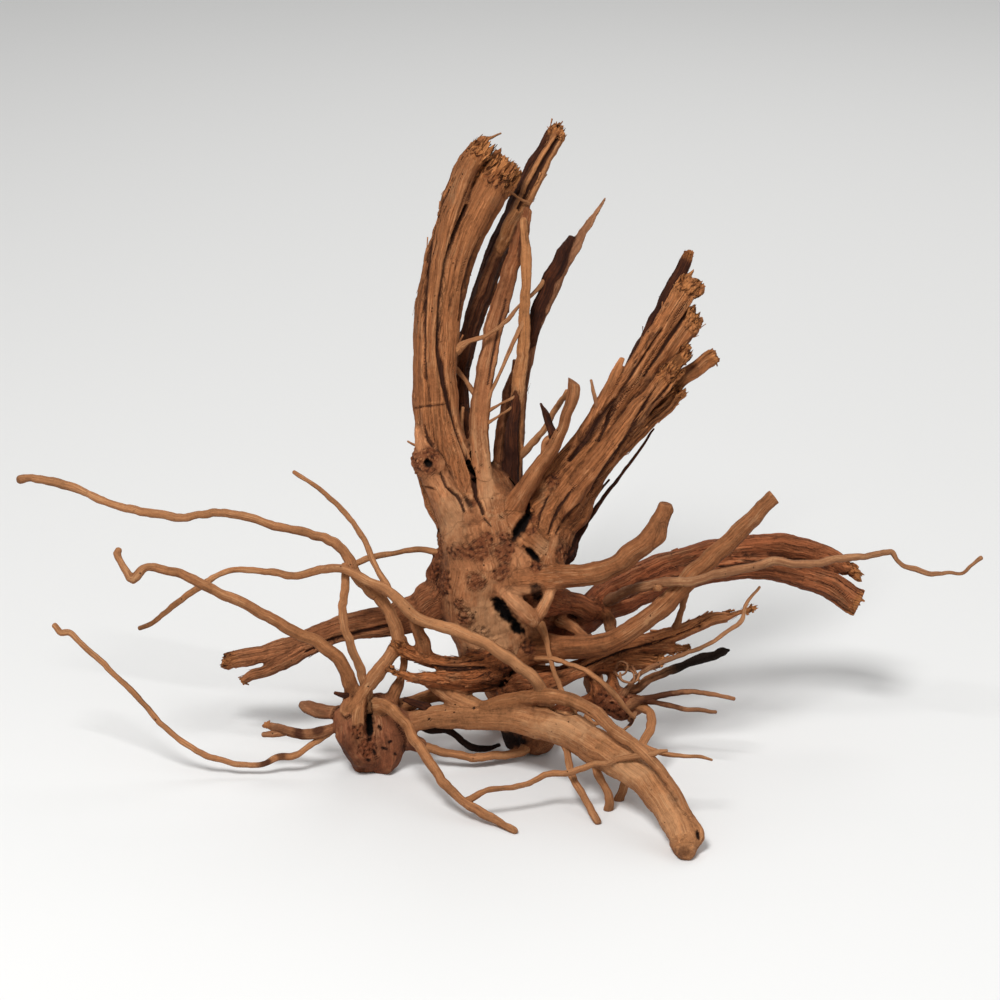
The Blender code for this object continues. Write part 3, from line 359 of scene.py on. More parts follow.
lowRoots = {
    "main_root": [
        (-64, -114, 2, 22), (-48, -111, 2, 10), (-33.5, -108.5, 4, 11), (-16, -107.5, 8, 13.4), (1, -108, 13, 14),
        (20, -111, 22, 16.4), (37.5, -116.5, 36, 17.4), (54, -126.5, 51, 16.6), (69.5, -137.5, 64, 15),
        (80.5, -150, 76, 14.2), (88.5, -163.5, 87, 13.6), (91.5, -171.5, 93, 13), (91.8, -173.5, None, 12),
        (92.2, -175.2, None, 10.6),
    ],
    "main_root_knob": [(89, -156, 80, 10), (96, -163, 86, 10), (99, -167.5, 89, 9.4), (97.5, -172, 92, 7)],
    "upper_front_root": [
        (-6, -104, 12, 9), (2.5, -101, 17, 8), (21.5, -98, 27, 7.6), (34, -99.5, 37, 7), (46.5, -105.5, 48, 6.6),
        (58, -115.5, 60, 6.2), (69.5, -123.5, 70, 5.6), (77, -131, 75, 5), (86.5, -143, 80, 4.8), (92, -153, 85, 5),
        (95.5, -162, 87, 6),
    ],
    "leg_first": [
        (31.5, -117, 28, 7), (33.5, -125, 36, 3.8), (35.5, -136.5, 45, 3.7), (41.5, -148, 52, 3.7),
        (46, -156, 56, 3.7), (49, -161, None, 3.8),
    ],
    "leg_second": [
        (44, -123, 42, 8), (47, -131.5, 46, 4.2), (51.5, -141.5, 47, 4), (54.5, -149.5, 47, 4.2),
        (54, -155.5, None, 4.4),
    ],
    "leg_third": [
        (67, -101.5, 0, 6), (74.5, -106, 6, 4.7), (75.5, -112, 12, 4.7), (73, -118.5, 18, 4.5), (69, -126, 25, 4.4),
        (65, -136, 33, 4.4), (61.5, -144, 37, 4.4), (59.5, -150, None, 4.8),
    ],
    "front_whip": [
        (-18, -151, 57, 4), (-6, -144.5, 59, 2.6), (5, -144, 56, 2.6), (17.5, -140.5, 53, 2.7), (23, -137, 52, 2.8),
        (34.5, -136, 54, 2.8), (48, -132.5, 58, 2.8), (59, -130, 66, 3), (71, -127.5, 72, 3), (77.5, -126.5, 76, 2.8),
        (83.5, -125.5, 78, 1.4),
    ],
    "front_whip_tip": [(70, -124, 68, 4), (86, -127.5, 72, 2.2), (100, -128.5, 70, 1.7), (106, -130, 69, 1)],
}

fineTwigs = {
    "top_splinter": [(-12, 178, 7, 2.4), (-5, 181, 7, 1.5), (0.5, 183.5, 7, 0.9)],
    "burl_twig": [(-75, -98, 13, 3), (-80, -97, 15, 1.9), (-82.5, -96.3, 15, 1.3)],
    "loop_small": [(58, -84, 2, 1.6), (60, -80.5, 6, 1.1), (63.5, -82, 7, 1), (63, -86, 6, 1), (59, -88, 3, 1.2)],
    "loop_hair": [(66, -83, 0, 1.5), (68, -87, 3, 1.1), (69.5, -91, 4, 1.3)],
    "dark_hair": [(66, -108, 10, 1.8), (65.5, -111, 12, 1.6), (61.5, -115.5, 13, 1.2)],
    "wrap_root": [(43, -108, 12, 3), (47, -112, 16, 2.2), (52, -111, 16, 2.2), (56, -114, 14, 2.4)],
    "link_twig": [(-22, 66, -4, 2.8), (-19, 62.5, -2, 2.4), (-13, 53, 2, 2.8)],
    "stub_twig": [(-18, 27, 2, 4), (-19.5, 36, 3, 2.4), (-18.5, 46, 4, 1.6)],
    "hair_low": [(-9, 37, 9, 2.4), (0, 42.5, 6, 1.3), (7, 47, 1, 1.6)],
    "hair_high": [(-9, 43, 8, 2.4), (0, 48, 5, 1.3), (8, 52, 1, 1.6)],
    "collar_twig": [(-36, 26, 9, 2.6), (-42, 27.5, 8, 1.8), (-46, 29.5, 8, 1.4)],
    "top_hair": [(4, 155, 4, 1.8), (8, 152, 0, 1.2), (14, 148, -7, 1.6)],
    "hair_twin": [(-9, 47, 6, 1.6), (-1, 62, 5, 1.2), (4, 74, 3, 1.1), (9.5, 86, 1, 1.4)],
    "loop_twig": [(62, -84, 0, 1.8), (67, -87, 6, 1.3), (66.5, -91, 9, 1.2), (61, -90, 8, 1.1), (60, -86.5, 4, 1.1)],
    "loop_twig_low": [(57, -86, 0, 1.6), (63, -91, 6, 1.1), (68, -90.5, 8, 1.1), (70, -86, 4, 1.2)],
    "hook_twig": [(65, -110, 0, 2.4), (67.5, -106.5, 8, 1.6), (65.5, -112, 12, 1.5), (61.5, -115, 14, 1.2)],
    "bark_stub": [(-36, -104, 4, 5), (-42, -101.5, 6, 3.6), (-47.5, -99.5, 7, 2.4)],
    "bundle_thorn": [(50, 44, 12, 3), (47, 53, 12, 2), (45.5, 60, 12, 1.2)],
    "bridge_twig": [
        (-23, 75, 8, 7), (-15, 79.5, 9, 2.8), (-6, 83, 8, 2.3), (2.5, 89, 5, 2.2), (10.5, 97.5, -5, 2.1),
        (15.5, 102, -9, 2), (24, 112, -17, 2.6),
    ],
    "curved_twig": [(5, 19, -4, 4), (15, 27, 0, 3.2), (22.5, 36, 3, 3), (28, 45, 8, 2.8), (34, 54, 20, 2.6)],
    "hair_curved": [(-9, 44, 7, 3), (-3, 57.5, 7, 1.5), (1.5, 66.5, 5, 1.4), (6.5, 77, 3, 1.3), (12, 91, 1, 2)],
}

# A bare dry wood colour for each kind of limb, and how its surface is weathered:
# tone and tip are its colours, ridge and lump its relief in mm, crack its open splits in mm,
# bark the share of dark bark left on it, lobes how far its section is from round
woodLooks = {
    "trunkTan": {
        # the trunk's foot is paler than its top: partly its own tone, partly painted light where the lower trunk is lit
        # from the front
        "tone": (0.56, 0.262, 0.115), "tip": (0.235, 0.092, 0.035), "ridge": 0.1, "lump": 1.1, "crack": 0.08,
        "fillet": 1.0, "bark": 0.04, "lobes": 0.07,
        "limbs": "trunk trunk_foot heel_root rear_root collar knot knot_left knot_low branch_fill stub_low "
                 "stub_level stub_flat fin",
    },
    "leftShard": {
        "tone": (0.345, 0.136, 0.05), "tip": (0.35, 0.143, 0.052), "ridge": 0.34, "lump": 0.4, "crack": 0.5,
        "fillet": 0.25, "flats": 6, "bark": 0.05, "lobes": 0.12,
        "limbs": "left_shard_outer left_shard_middle left_shard_inner",
    },
    "darkShard": {
        "tone": (0.125, 0.041, 0.016), "tip": (0.2, 0.08, 0.031), "ridge": 0.5, "lump": 0.3, "crack": 0.5,
        "flats": 5, "bark": 0.34, "lobes": 0.13,
        "limbs": "tall_shard_dark dark_strip",
    },
    "barkShard": {
        "tone": (0.075, 0.022, 0.009), "tip": (0.08, 0.024, 0.01), "ridge": 0.5, "lump": 0.3, "crack": 0.4,
        "flats": 5, "crisp": 1, "bark": 0.62, "lobes": 0.13,
        "limbs": "spike_bark tall_bark rod_bark burl_twig dark_hair dark_spike dark_clump bristle_long bristle_short "
                 "thorn_upper bark_stub",
    },
    "paleShard": {
        "tone": (0.392, 0.175, 0.065), "tip": (0.381, 0.168, 0.061), "ridge": 0.3, "lump": 0.25, "crack": 0.25,
        "flats": 5, "crisp": 1, "bark": 0.06, "lobes": 0.10, "limbs": "tall_shard_pale pale_rod",
    },
    "bundleWood": {
        "tone": (0.34, 0.132, 0.048), "tip": (0.42, 0.17, 0.06), "ridge": 0.45, "lump": 0.3, "crack": 0.6,
        "fillet": 0.35, "flats": 6, "bark": 0.05, "lobes": 0.14,
        "limbs": "bundle_base bundle_left bundle_back bundle_notched bundle_peg bundle_front bundle_right "
                 "bundle_spur",
    },
    "branchTan": {
        "tone": (0.285, 0.11, 0.04), "tip": (0.285, 0.12, 0.046), "ridge": 0.3, "lump": 0.5, "crack": 0.25,
        "fillet": 0.9, "bark": 0.08, "lobes": 0.07,
        "limbs": "finger_stick thorn_lower curved_branch straight_branch knuckle prop_root peg slab_twig fold_upper "
                 "fold_lower fold_side cut_peg round_knob branch_knob branch_end",
    },
    "redSplit": {
        "tone": (0.29, 0.088, 0.034), "tip": (0.37, 0.13, 0.05), "ridge": 0.3, "lump": 0.5, "crack": 0.8,
        "fillet": 0.5, "bark": 0.08, "lobes": 0.10,
        "limbs": "back_root_upper back_root_lower shoulder burl_tie",
    },
    "tornRed": {
        "tone": (0.33, 0.112, 0.038), "tip": (0.37, 0.13, 0.04), "ridge": 0.6, "lump": 0.5, "crack": 0.8,
        "flats": 6, "bark": 0.12, "lobes": 0.12,
        "limbs": "jaw_upper jaw_lower burl_neck burl_neck_right",
    },
    "burlWood": {
        "tone": (0.26, 0.1, 0.046), "tip": (0.225, 0.082, 0.037), "ridge": 0.16, "lump": 2.2, "crack": 0.08,
        "fillet": 0.7, "bark": 0.12, "lobes": 0.08, "limbs": "burl_skirt burl_middle burl_left burl_right right_burl",
    },
    "ochreRoot": {
        "tone": (0.3, 0.128, 0.048), "tip": (0.32, 0.15, 0.062), "ridge": 0.16, "lump": 0.5, "crack": 0.06,
        "fillet": 0.8, "patchy": 0.7, "bark": 0.05, "lobes": 0.05,
        "limbs": "burl_rod burl_lash long_root hooked_root crossing_root upright_twig level_twig post_root near_leg "
                 "low_left_root front_whip front_whip_tip arching_twig drop_twig leg_first leg_second leg_third "
                 "upper_front_root back_runner bridge_twig curved_twig hair_curved link_twig stub_twig hair_low "
                 "hair_high collar_twig top_hair top_splinter wrap_root burl_knob",
    },
    "leftSplit": {
        "tone": (0.285, 0.105, 0.042), "tip": (0.400, 0.168, 0.070), "ridge": 0.26, "lump": 0.4, "crack": 0.6,
        "fillet": 0.5, "bark": 0.06, "lobes": 0.10, "limbs": "split_root_upper split_root_lower",
    },
    "brownRoot": {
        "tone": (0.12, 0.042, 0.018), "tip": (0.33, 0.165, 0.076), "ridge": 0.2, "lump": 0.5, "crack": 0.1,
        "fillet": 0.8, "patchy": 0.4, "bark": 0.07, "lobes": 0.06,
        "limbs": "long_right_root whip_twig hair_twin loop_twig loop_twig_low hook_twig bundle_thorn loop_small "
                 "loop_hair",
    },
    "mainRoot": {
        "tone": (0.33, 0.148, 0.06), "tip": (0.43, 0.208, 0.086), "ridge": 0.18, "lump": 0.7, "crack": 0.06,
        "fillet": 0.9, "bark": 0.05, "lobes": 0.06, "limbs": "main_root main_root_knob saddle saddle_front",
    },
    "legWood": {
        "tone": (0.215, 0.076, 0.029), "tip": (0.4, 0.175, 0.07), "ridge": 0.18, "lump": 0.4, "crack": 0.2,
        "fillet": 0.6, "flats": 5, "bark": 0.12, "lobes": 0.08, "limbs": "leg_shard",
    },
    "spikeWood": {
        "tone": (0.34, 0.165, 0.082), "tip": (0.150, 0.050, 0.020), "ridge": 0.5, "lump": 0.3, "crack": 0.5,
        "flats": 5, "bark": 0.14, "lobes": 0.12, "crisp": 1, "limbs": "spiked_shard",
    },
    "slabWood": {
        "tone": (0.33, 0.114, 0.042), "tip": (0.5, 0.206, 0.074), "ridge": 0.5, "lump": 0.5, "crack": 0.6,
        "fillet": 0.4, "flats": 6, "bark": 0.08, "lobes": 0.12, "limbs": "torn_slab torn_slab_lobe torn_slab_teeth",
    },
    "greyTwig": {
        "tone": (0.263, 0.110, 0.046), "tip": (0.224, 0.100, 0.047), "ridge": 0.2, "lump": 0.3, "crack": 0.15,
        "patchy": 1.0, "bark": 0.1, "lobes": 0.07,
        "limbs": "wedge_stub forked_stub forked_stub_tine tine_upper tine_lower black_tip_stick",
    },
    "blackRoot": {
        "tone": (0.022, 0.009, 0.005), "tip": (0.031, 0.012, 0.007), "ridge": 0.3, "lump": 0.4, "crack": 0.1,
        "bark": 0.9, "lobes": 0.08, "limbs": "black_root",
    },
}

# Torn ends: how deep the tear goes, how many splinters stand in it and how long they are, in mm
tornEnds = {
    "left_shard_outer": (7, 22, 6), "left_shard_middle": (9, 46, 7), "left_shard_inner": (12, 80, 8),
    "tall_shard_dark": (6, 26, 5), "tall_shard_pale": (4, 12, 4), "bundle_left": (9, 50, 7),
    "bundle_back": (8, 34, 7), "bundle_notched": (7, 18, 6), "bundle_peg": (3, 14, 3), "bundle_front": (9, 40, 7),
    "bundle_right": (6, 16, 6), "dark_spike": (4, 14, 4), "split_root_upper": (6, 30, 5),
    "split_root_lower": (2, 6, 2), "back_root_lower": (3, 16, 3), "back_root_upper": (8, 14, 5),
    "jaw_upper": (6, 26, 3), "jaw_lower": (7, 16, 3), "torn_slab": (5, 8, 4), "torn_slab_lobe": (5, 12, 3),
    "torn_slab_teeth": (5, 14, 3), "forked_stub": (3, 6, 2),
}

# Rotted hollows, placed as seen in the photograph; their black is partly dark rotted wood and partly painted shade
# inside the holes:
# (across, up, nearer, width, length, lean in degrees, depth of the dent in mm, how black)
hollows = [
    (10.5, -13.5, 27, 5.4, 19, -33, 6.5, 1.0), (16.2, -27, 26, 3.4, 12, 49, 5.0, 1.0),
    (-36, 18.5, 20, 4.6, 5.4, 20, 4.5, 0.95), (2.5, -56, 18, 6.4, 19, 36, 6.0, 1.0),
    (8, -63, 16, 5.5, 12, 30, 4.5, 1.0), (5, -120, -20, 16, 12, 0, 0.6, 0.9),
    (-65.4, -110.5, 18, 4.2, 23, -1, 7.0, 1.0), (-15.5, -2, 14, 5, 9, 25, 2.0, 0.35),
    (99, -168, 94, 2.4, 6.5, 8, 2.6, 0.85), (-35.5, -109.5, 9, 1.6, 1.4, 0, 1.0, 0.9),
    (-13, -104, 14, 1.6, 1.4, 0, 1.0, 0.9), (18, -46, 14, 6, 11, 20, 2.0, 0.7),
    (-60, -114, 15, 1.6, 3.4, 40, 1.2, 0.7), (-55, -121, 15, 1.6, 3.0, -60, 1.2, 0.7),
    (-58.5, -124, 15, 1.4, 3.6, 70, 1.2, 0.7), (-63, -126, 13, 1.6, 3.4, 20, 1.2, 0.7),
    (-52.5, -127, 13, 1.4, 2.4, 50, 1.0, 0.6), (-66, -130, 12, 1.6, 3.4, 80, 1.0, 0.7),
    (66, -100, 4, 2.4, 3.0, 0, 2.0, 0.8), (0.5, -8.5, 26, 1.3, 4.5, 60, 0.9, 0.6),
    (-6, -11.5, 25, 0.9, 7, 42, 0.8, 0.6), (4.5, -17.5, 27, 1.3, 1.3, 0, 1.0, 0.7),
    (-12.5, 16, 17, 1.0, 1.0, 0, 0.8, 0.7), (-10.7, 14, 17, 0.9, 0.9, 0, 0.8, 0.7),
    (-7, 13, 17, 0.8, 0.8, 0, 0.8, 0.7), (-9.6, 17.5, 17, 0.8, 0.8, 0, 0.8, 0.7),
]

# Dark stains and reddened tips: limbs' first words, (across, up), spread across, spread up in mm, how strong; a
# negative strength gives paler patches instead, partly pale wood and partly painted highlight on lit places
stains = [
    ("trunk branch_fill", (-5, -66), 15, 22, -0.42), ("trunk collar", (-24, -10), 9, 16, -0.26),
    ("leg_shard trunk", (-6, 8), 5, 16, -0.3), ("trunk", (8, -82), 12, 10, -0.36),
    ("stub_l", (10, -50), 10, 10, -0.2), ("main_root", (33, -113), 24, 7, -0.3),
    ("main_root", (66, -134), 14, 9, -0.34), ("main_root", (84, -160), 8, 12, -0.24),
    ("fold_", (22, -24), 6, 10, -0.24), ("long_root", (-241, 11), 4, 6, 0.42),
    ("crossing_root", (-181, -64.5), 5, 4, 0.24), ("low_left", (-221, -65.5), 7, 5, 0.26),
    ("low_left", (-204, -77), 7, 5, 0.22), ("low_left", (-181, -100), 5, 5, 0.32),
    ("low_left", (-118, -131.5), 4, 4, 0.75), ("low_left", (-109, -127.5), 4, 3, 0.75),
    ("low_left", (-84, -116), 6, 4, 0.3), ("forked_stub", (-100.5, -116), 3, 4, 0.9),
    ("forked_stub", (-91, -115), 3.4, 4, 0.8), ("forked_stub", (-119, -114), 4, 6, 0.3),
    ("hooked_root", (-190.5, -26), 4, 4, 0.26), ("hooked_root", (-74.5, -94), 4, 4, 0.4),
    ("hooked_root", (-86.5, -75), 2.4, 3, 0.3), ("long_root", (-79, -26), 3, 5, 0.34),
    ("long_root", (-78.5, -24), 7, 3, 0.16), ("wedge_stub", (-98, -101), 6, 3, 0.4),
    ("burl_left burl_middle", (-80.5, -112), 5, 11, 0.30), ("burl_", (-77, -126), 6, 10, 0.75),
    ("burl_", (-70, -131.5), 10, 3.5, 0.5), ("main_root", (91.5, -176), 5, 4, 0.6),
    ("main_root", (99.5, -169), 4, 5, 0.24), ("main_root", (73, -145), 4, 3, 0.2),
    ("leg_second", (54, -155.5), 4, 5, 0.36), ("leg_third", (60, -149), 5, 4, 0.26),
    ("leg_first", (49, -161), 4, 4, 0.3), ("tine_", (79, -98), 15, 9, 0.95), ("whip_twig", (69, -88), 6, 6, 0.4),
    ("upper_front", (90, -147), 6, 10, 0.22), ("upper_front", (76, -130), 5, 4, 0.3),
    ("spiked", (22, 108), 9, 16, 0.30), ("spiked", (13, 70), 7, 24, 0.34), ("tall_shard_dark", (-18, 60), 8, 34, 0.2),
    ("leg_shard", (-10, 46), 4, 10, 0.12), ("leg_shard", (1, 96), 6, 16, 0.2), ("finger", (37, 60), 3, 4, 0.2),
    # the back_root and straight entries darken the dark hollow between the straight branch and the back root
    ("bundle", (46, 32), 5, 8, 0.2), ("trunk", (-36, -35), 5, 12, 0.14), ("back_root", (40, -66), 16, 8, 0.3),
    ("straight", (22, -84), 14, 5, 0.3), ("trunk_foot trunk", (6, -121), 12, 7, 0.8),
    ("long_right", (240, -29), 3, 3, 0.2), ("curved_branch", (84, -5), 4, 5, 0.14),
    ("round_knob", (54.5, -65), 5, 5, 0.16),
]

# Burrs: (across, up, nearer, spread, size of their buds, height of the buds); a negative height gives pits
burrs = [
    (-22.5, -24.5, 18, 4.2, 1.8, 1.7), (-16, -26, 21, 4.6, 1.8, 1.7), (-10, -26.5, 23, 4.6, 1.8, 1.7),
    (-7, -20, 24, 3.8, 1.8, 1.7), (-11.5, -23, 23, 3.4, 1.8, 1.7), (1.5, -26.5, 25, 4.6, 1.8, 1.7),
    (4.5, -23.5, 25, 3.6, 1.8, 1.7), (2.4, -18.5, 25, 3.2, 2.0, 1.4), (-0.5, -37, 25, 3.8, 1.8, 1.7),
    (2.5, -35, 25, 3, 1.8, 1.7), (-12.4, -40.6, 23, 4.4, 1.8, 1.7), (-9, -42, 23, 3, 1.8, 1.7),
    (-28, -43.5, 10, 4.6, 1.8, 1.7), (-27, -38, 12, 3.4, 1.8, 1.7), (18, -33, 23, 3.4, 2.2, 1.6),
    (-31, -20, 8, 4.4, 1.8, 1.7), (-31.5, -26, 6, 3.4, 1.8, 1.7), (-17, -59, 16, 4.2, 1.8, 1.7),
    (-9.5, -67.5, 16, 4.2, 1.8, 1.7), (-20, -52, 15, 3, 1.8, 1.8), (-37, 19, 16, 7.4, 1.8, 1.6),
    (-33, -36, 4, 4.5, 1.8, 1.7), (16, -9, 25, 3.4, 1.8, 1.6), (15.5, -15.5, 26, 3.2, 1.8, 1.6),
    (26, 10, 18, 4, 2.2, 1.6), (-13.5, -1.5, 14, 2.6, 2.4, 2.0), (-71.5, -116, 18, 4.4, 2.2, -1.3),
    (-67, -124, 15, 4.5, 2.2, -1.2), (54, -105, 5, 6.5, 3.4, -2.6), (60, -106, 4, 6.0, 3.4, -2.6),
    (51, -101, 4, 5.5, 3.0, -2.2), (65, -102, 4, 4.5, 3.0, -1.6), (14, -74, 8, 4.4, 2.4, 1.6),
    (3, -84, 6, 4, 2.4, 1.6), (-10, -30, -24, 7, 2.4, 2.2), (8, -44, -26, 7, 2.4, 2.2), (-4, -8, -20, 6, 2.4, 2.2),
    (-62, -118, -8, 7, 2.6, -1.4), (30, -26, 6, 6, 3.0, 1.6),
]

# Splits and grooves on the visible side: limbs' first words, width and depth in mm, how dark, then the way
# that each takes across and up the photograph
grooves = [
    ("left_shard", 1.3, 1.6, 0.75, [(-23, 161), (-30, 147), (-35, 130), (-37.5, 105), (-38, 82), (-37, 60)]),
    ("left_shard", 1.7, 2.6, 1.0,
     [(-17, 147), (-22.5, 134), (-27.5, 119), (-30.5, 100), (-31, 77), (-27, 52), (-21.5, 35), (-16, 19)]),
    ("left_shard", 1.1, 1.2, 0.8, [(-10, 131), (-15, 119), (-18.5, 105), (-20.5, 90)]),
    ("left_shard", 0.7, 0.8, 0.7, [(-43, 46), (-34, 47), (-27, 48)]),
    ("left_shard", 0.8, 1.2, 0.8, [(-38, 38), (-36, 31), (-33, 25)]),
    ("tall_shard", 2.2, 2.2, 1.0, [(29, 181), (21, 167), (13.5, 154), (9, 146)]),
    ("tall_shard", 1.4, 1.2, 0.9, [(0, 105), (-7, 86), (-12, 66), (-15, 44)]),
    ("leg_shard", 1.2, 1.0, 0.8, [(3, 100), (-2, 80), (-6, 58)]),
    ("leg_shard trunk left_shard", 1.3, 3.0, 1.0, [(-21, 35), (-16.5, 22), (-13.5, 10), (-12, 2), (-8.5, -7)]),
    ("trunk left_shard collar knot", 0.9, 1.8, 0.9, [(-29.5, 14), (-27, 7), (-21.5, 2), (-19, -3), (-18, -6)]),
    ("collar trunk", 0.8, 0.8, 0.7, [(-38, 6.5), (-35, 6), (-32, 5)]),
    ("bundle", 3.2, 2.6, 0.95, [(35, 21), (42, 30), (50, 41), (57.5, 50)]),
    ("bundle", 1.8, 2.2, 0.9, [(81, 85), (66.5, 64.5), (55, 42.5), (49, 30)]),
    ("bundle", 1.5, 2.0, 0.9, [(90.5, 64.5), (77, 48), (66.5, 34.5), (58, 22)]),
    ("bundle", 1.6, 1.8, 0.9, [(77.5, 56.5), (64, 33.5), (52, 14), (44, 2)]),
    ("bundle", 1.2, 1.4, 0.9, [(96, 97), (84, 80), (72, 62)]),
    ("bundle trunk fold", 1.0, 1.2, 0.8, [(37, 7), (30, -3), (26, -12), (24, -18)]),
    ("bundle trunk fold", 0.9, 1.0, 0.7, [(24, 2), (20, -6), (19, -14)]),
    ("bundle trunk fold", 1.4, 1.0, 0.5, [(40, -2), (33, -9), (28, -17)]),
    ("back_root", 1.6, 2.0, 1.0, [(109.5, -33), (122, -31.5), (136, -30.5), (152.5, -30)]),
    ("back_root", 1.0, 1.0, 0.8, [(60, -50), (74, -44), (90, -38), (104, -35)]),
    ("split_root", 1.6, 1.8, 0.9, [(-50, -62), (-66, -65), (-84, -70), (-97, -76)]),
    ("jaw", 1.6, 1.6, 0.9, [(-8, -84), (-22, -84.5), (-34, -83)]),
    ("main_root", 1.2, 1.0, 0.6, [(21, -101.5), (27, -104.5), (32, -107), (38, -106.5), (41, -103)]),
    ("torn_slab", 1.2, 1.6, 0.9, [(40, -84), (58, -77), (78, -71), (100, -63)]),
]

# Flat places, where the wood was cut or pressed: limbs' first words, a point as seen, and the way the flat
# faces to the right, up and to the eye
flats = [
    ("burl_r burl_m", (-56, -118, 11.5), (0.35, -0.15, 0.92)),
    ("burl_left burl_m", (-78.5, -112, 14), (-0.7, 0.1, 0.7)),
    ("burl_left burl_m", (-71, -116, 17), (0.4, -0.2, 0.9)), ("burl_", (-77, -127, 8), (-0.8, -0.55, 0.2)),
    ("burl_left", (-76, -102, 9), (-0.5, 0.85, 0.2)), ("burl_r", (-48.5, -122, 8), (0.85, -0.4, 0.3)),
    ("straight_branch", (137.2, 1.4, 12), (0.80, 0.60, 0)), ("back_root_lower", (180, -51, -35), (0.9, -0.4, 0.1)),
    ("split_root_lower", (-129.5, -91, -25), (-0.75, -0.6, 0.2)), ("finger", (36.5, 59.5, 24), (0.5, 0.8, 0.2)),
    ("curved_branch branch_end", (84, -2.2, 30), (0.2, 0.93, 0.3)),
    ("curved_branch branch_e", (87.2, -8, 30), (0.95, -0.1, 0.25)), ("left_shard", (-43.5, 60, 4), (-0.9, 0, 0.4)),
]

groups = {
    "trunk": trunkLimbs, "left_shard": leftShard, "standing_shards": standingShards, "right_bundle": rightBundle,
    "left_roots": leftRoots, "right_roots": rightRoots, "low_roots": lowRoots, "fine_twigs": fineTwigs,
}
lookOf = {limb: look for look, facts in woodLooks.items() for limb in facts["limbs"].split()}
sinTilt, cosTilt = math.sin(photoView["tilt"]), math.cos(photoView["tilt"])
eyeReach, middle = photoView["eyeReach"], np.array(photoView["middle"])
toEye = np.array((0, -cosTilt, sinTilt))
sunk = 0.8  # how deep a resting end goes into the floor, in mm


def toFrame(across, up, nearer):
    # a point of a route in the model's frame, in mm
    shrink = 1 - nearer / eyeReach
    high = up * shrink
    return np.array((
        middle[0] + across * shrink,
        middle[1] + high * sinTilt - nearer * cosTilt,
        middle[2] + high * cosTilt + nearer * sinTilt,
    ))


def asSeen(points):
    # the other way round: across, up and nearer of points in the frame
    away = points - middle
    nearer = away[:, 2] * sinTilt - away[:, 1] * cosTilt
    high = away[:, 1] * sinTilt + away[:, 2] * cosTilt
    shrink = 1 - nearer / eyeReach
    return np.stack((away[:, 0] / shrink, high / shrink, nearer), axis=1)


def restingDepth(up, across, thick, before):
    # how near the eye a limb's end lies when its underside just sinks into the floor
    perNearer = sinTilt - up * cosTilt / eyeReach
    base = middle[2] + up * cosTilt
    nearer = (thick / 2 - base) / perNearer
    for _ in range(5):
        along = toFrame(across, up, nearer) - before
        along /= np.linalg.norm(along)
        reachDown = thick / 2 * math.sqrt(max(0, 1 - along[2] ** 2))
        nearer = (reachDown - sunk - base) / perNearer
    return nearer


def stationsOf(route):
    spots, radii = [], []
    for across, up, nearer, thick in route:
        if nearer is None:
            nearer = restingDepth(up, across, thick, spots[-1])
        spots.append(toFrame(across, up, nearer))
        radii.append(thick / 2 * (1 - nearer / eyeReach))
    return np.array(spots), np.array(radii)


def hashed(x, y, z, seed):
    # a fixed pseudo-random value from -1 to 1 for each corner of a lattice
    mixed = x * 374761393 + y * 668265263 + z * 1274126177 + seed * 974634777
    mixed = (mixed ^ (mixed >> 13)) * 1103515245 & 0xFFFFFFFF
    mixed = (mixed ^ (mixed >> 16)) & 0xFFFF
    return mixed / 32767.5 - 1


def softNoise(points, seed):
    # smooth value noise, about one bump to a unit
    floor = np.floor(points).astype(np.int64)
    part = points - floor
    part = part * part * (3 - 2 * part)
    share = (1 - part, part)
    total = 0
    for i, j, k in itertools.product((0, 1), repeat=3):
        weight = share[i][:, 0] * share[j][:, 1] * share[k][:, 2]
        total = total + weight * hashed(floor[:, 0] + i, floor[:, 1] + j, floor[:, 2] + k, seed)
    return total


def cellNoise(points, seed):
    # how far each point is from the middle of the nearest cell, one cell to a unit
    floor = np.floor(points).astype(np.int64)
    nearest = np.full(len(points), 9.0)
    for shift in itertools.product((-1, 0, 1), repeat=3):
        x, y, z = (floor + shift).T
        heart = [axis + 0.5 + 0.45 * hashed(x, y, z, seed + n) for n, axis in enumerate((x, y, z))]
        nearest = np.minimum(nearest, np.linalg.norm(points - np.stack(heart, axis=1), axis=1))
    return nearest


# How a limb wanders off its route and swells, as shares of its radius
wander = {"bend": 0.34, "kink": 0.17, "swell": 0.07, "bendsPerMm": 0.13, "swellsPerMm": 0.19}


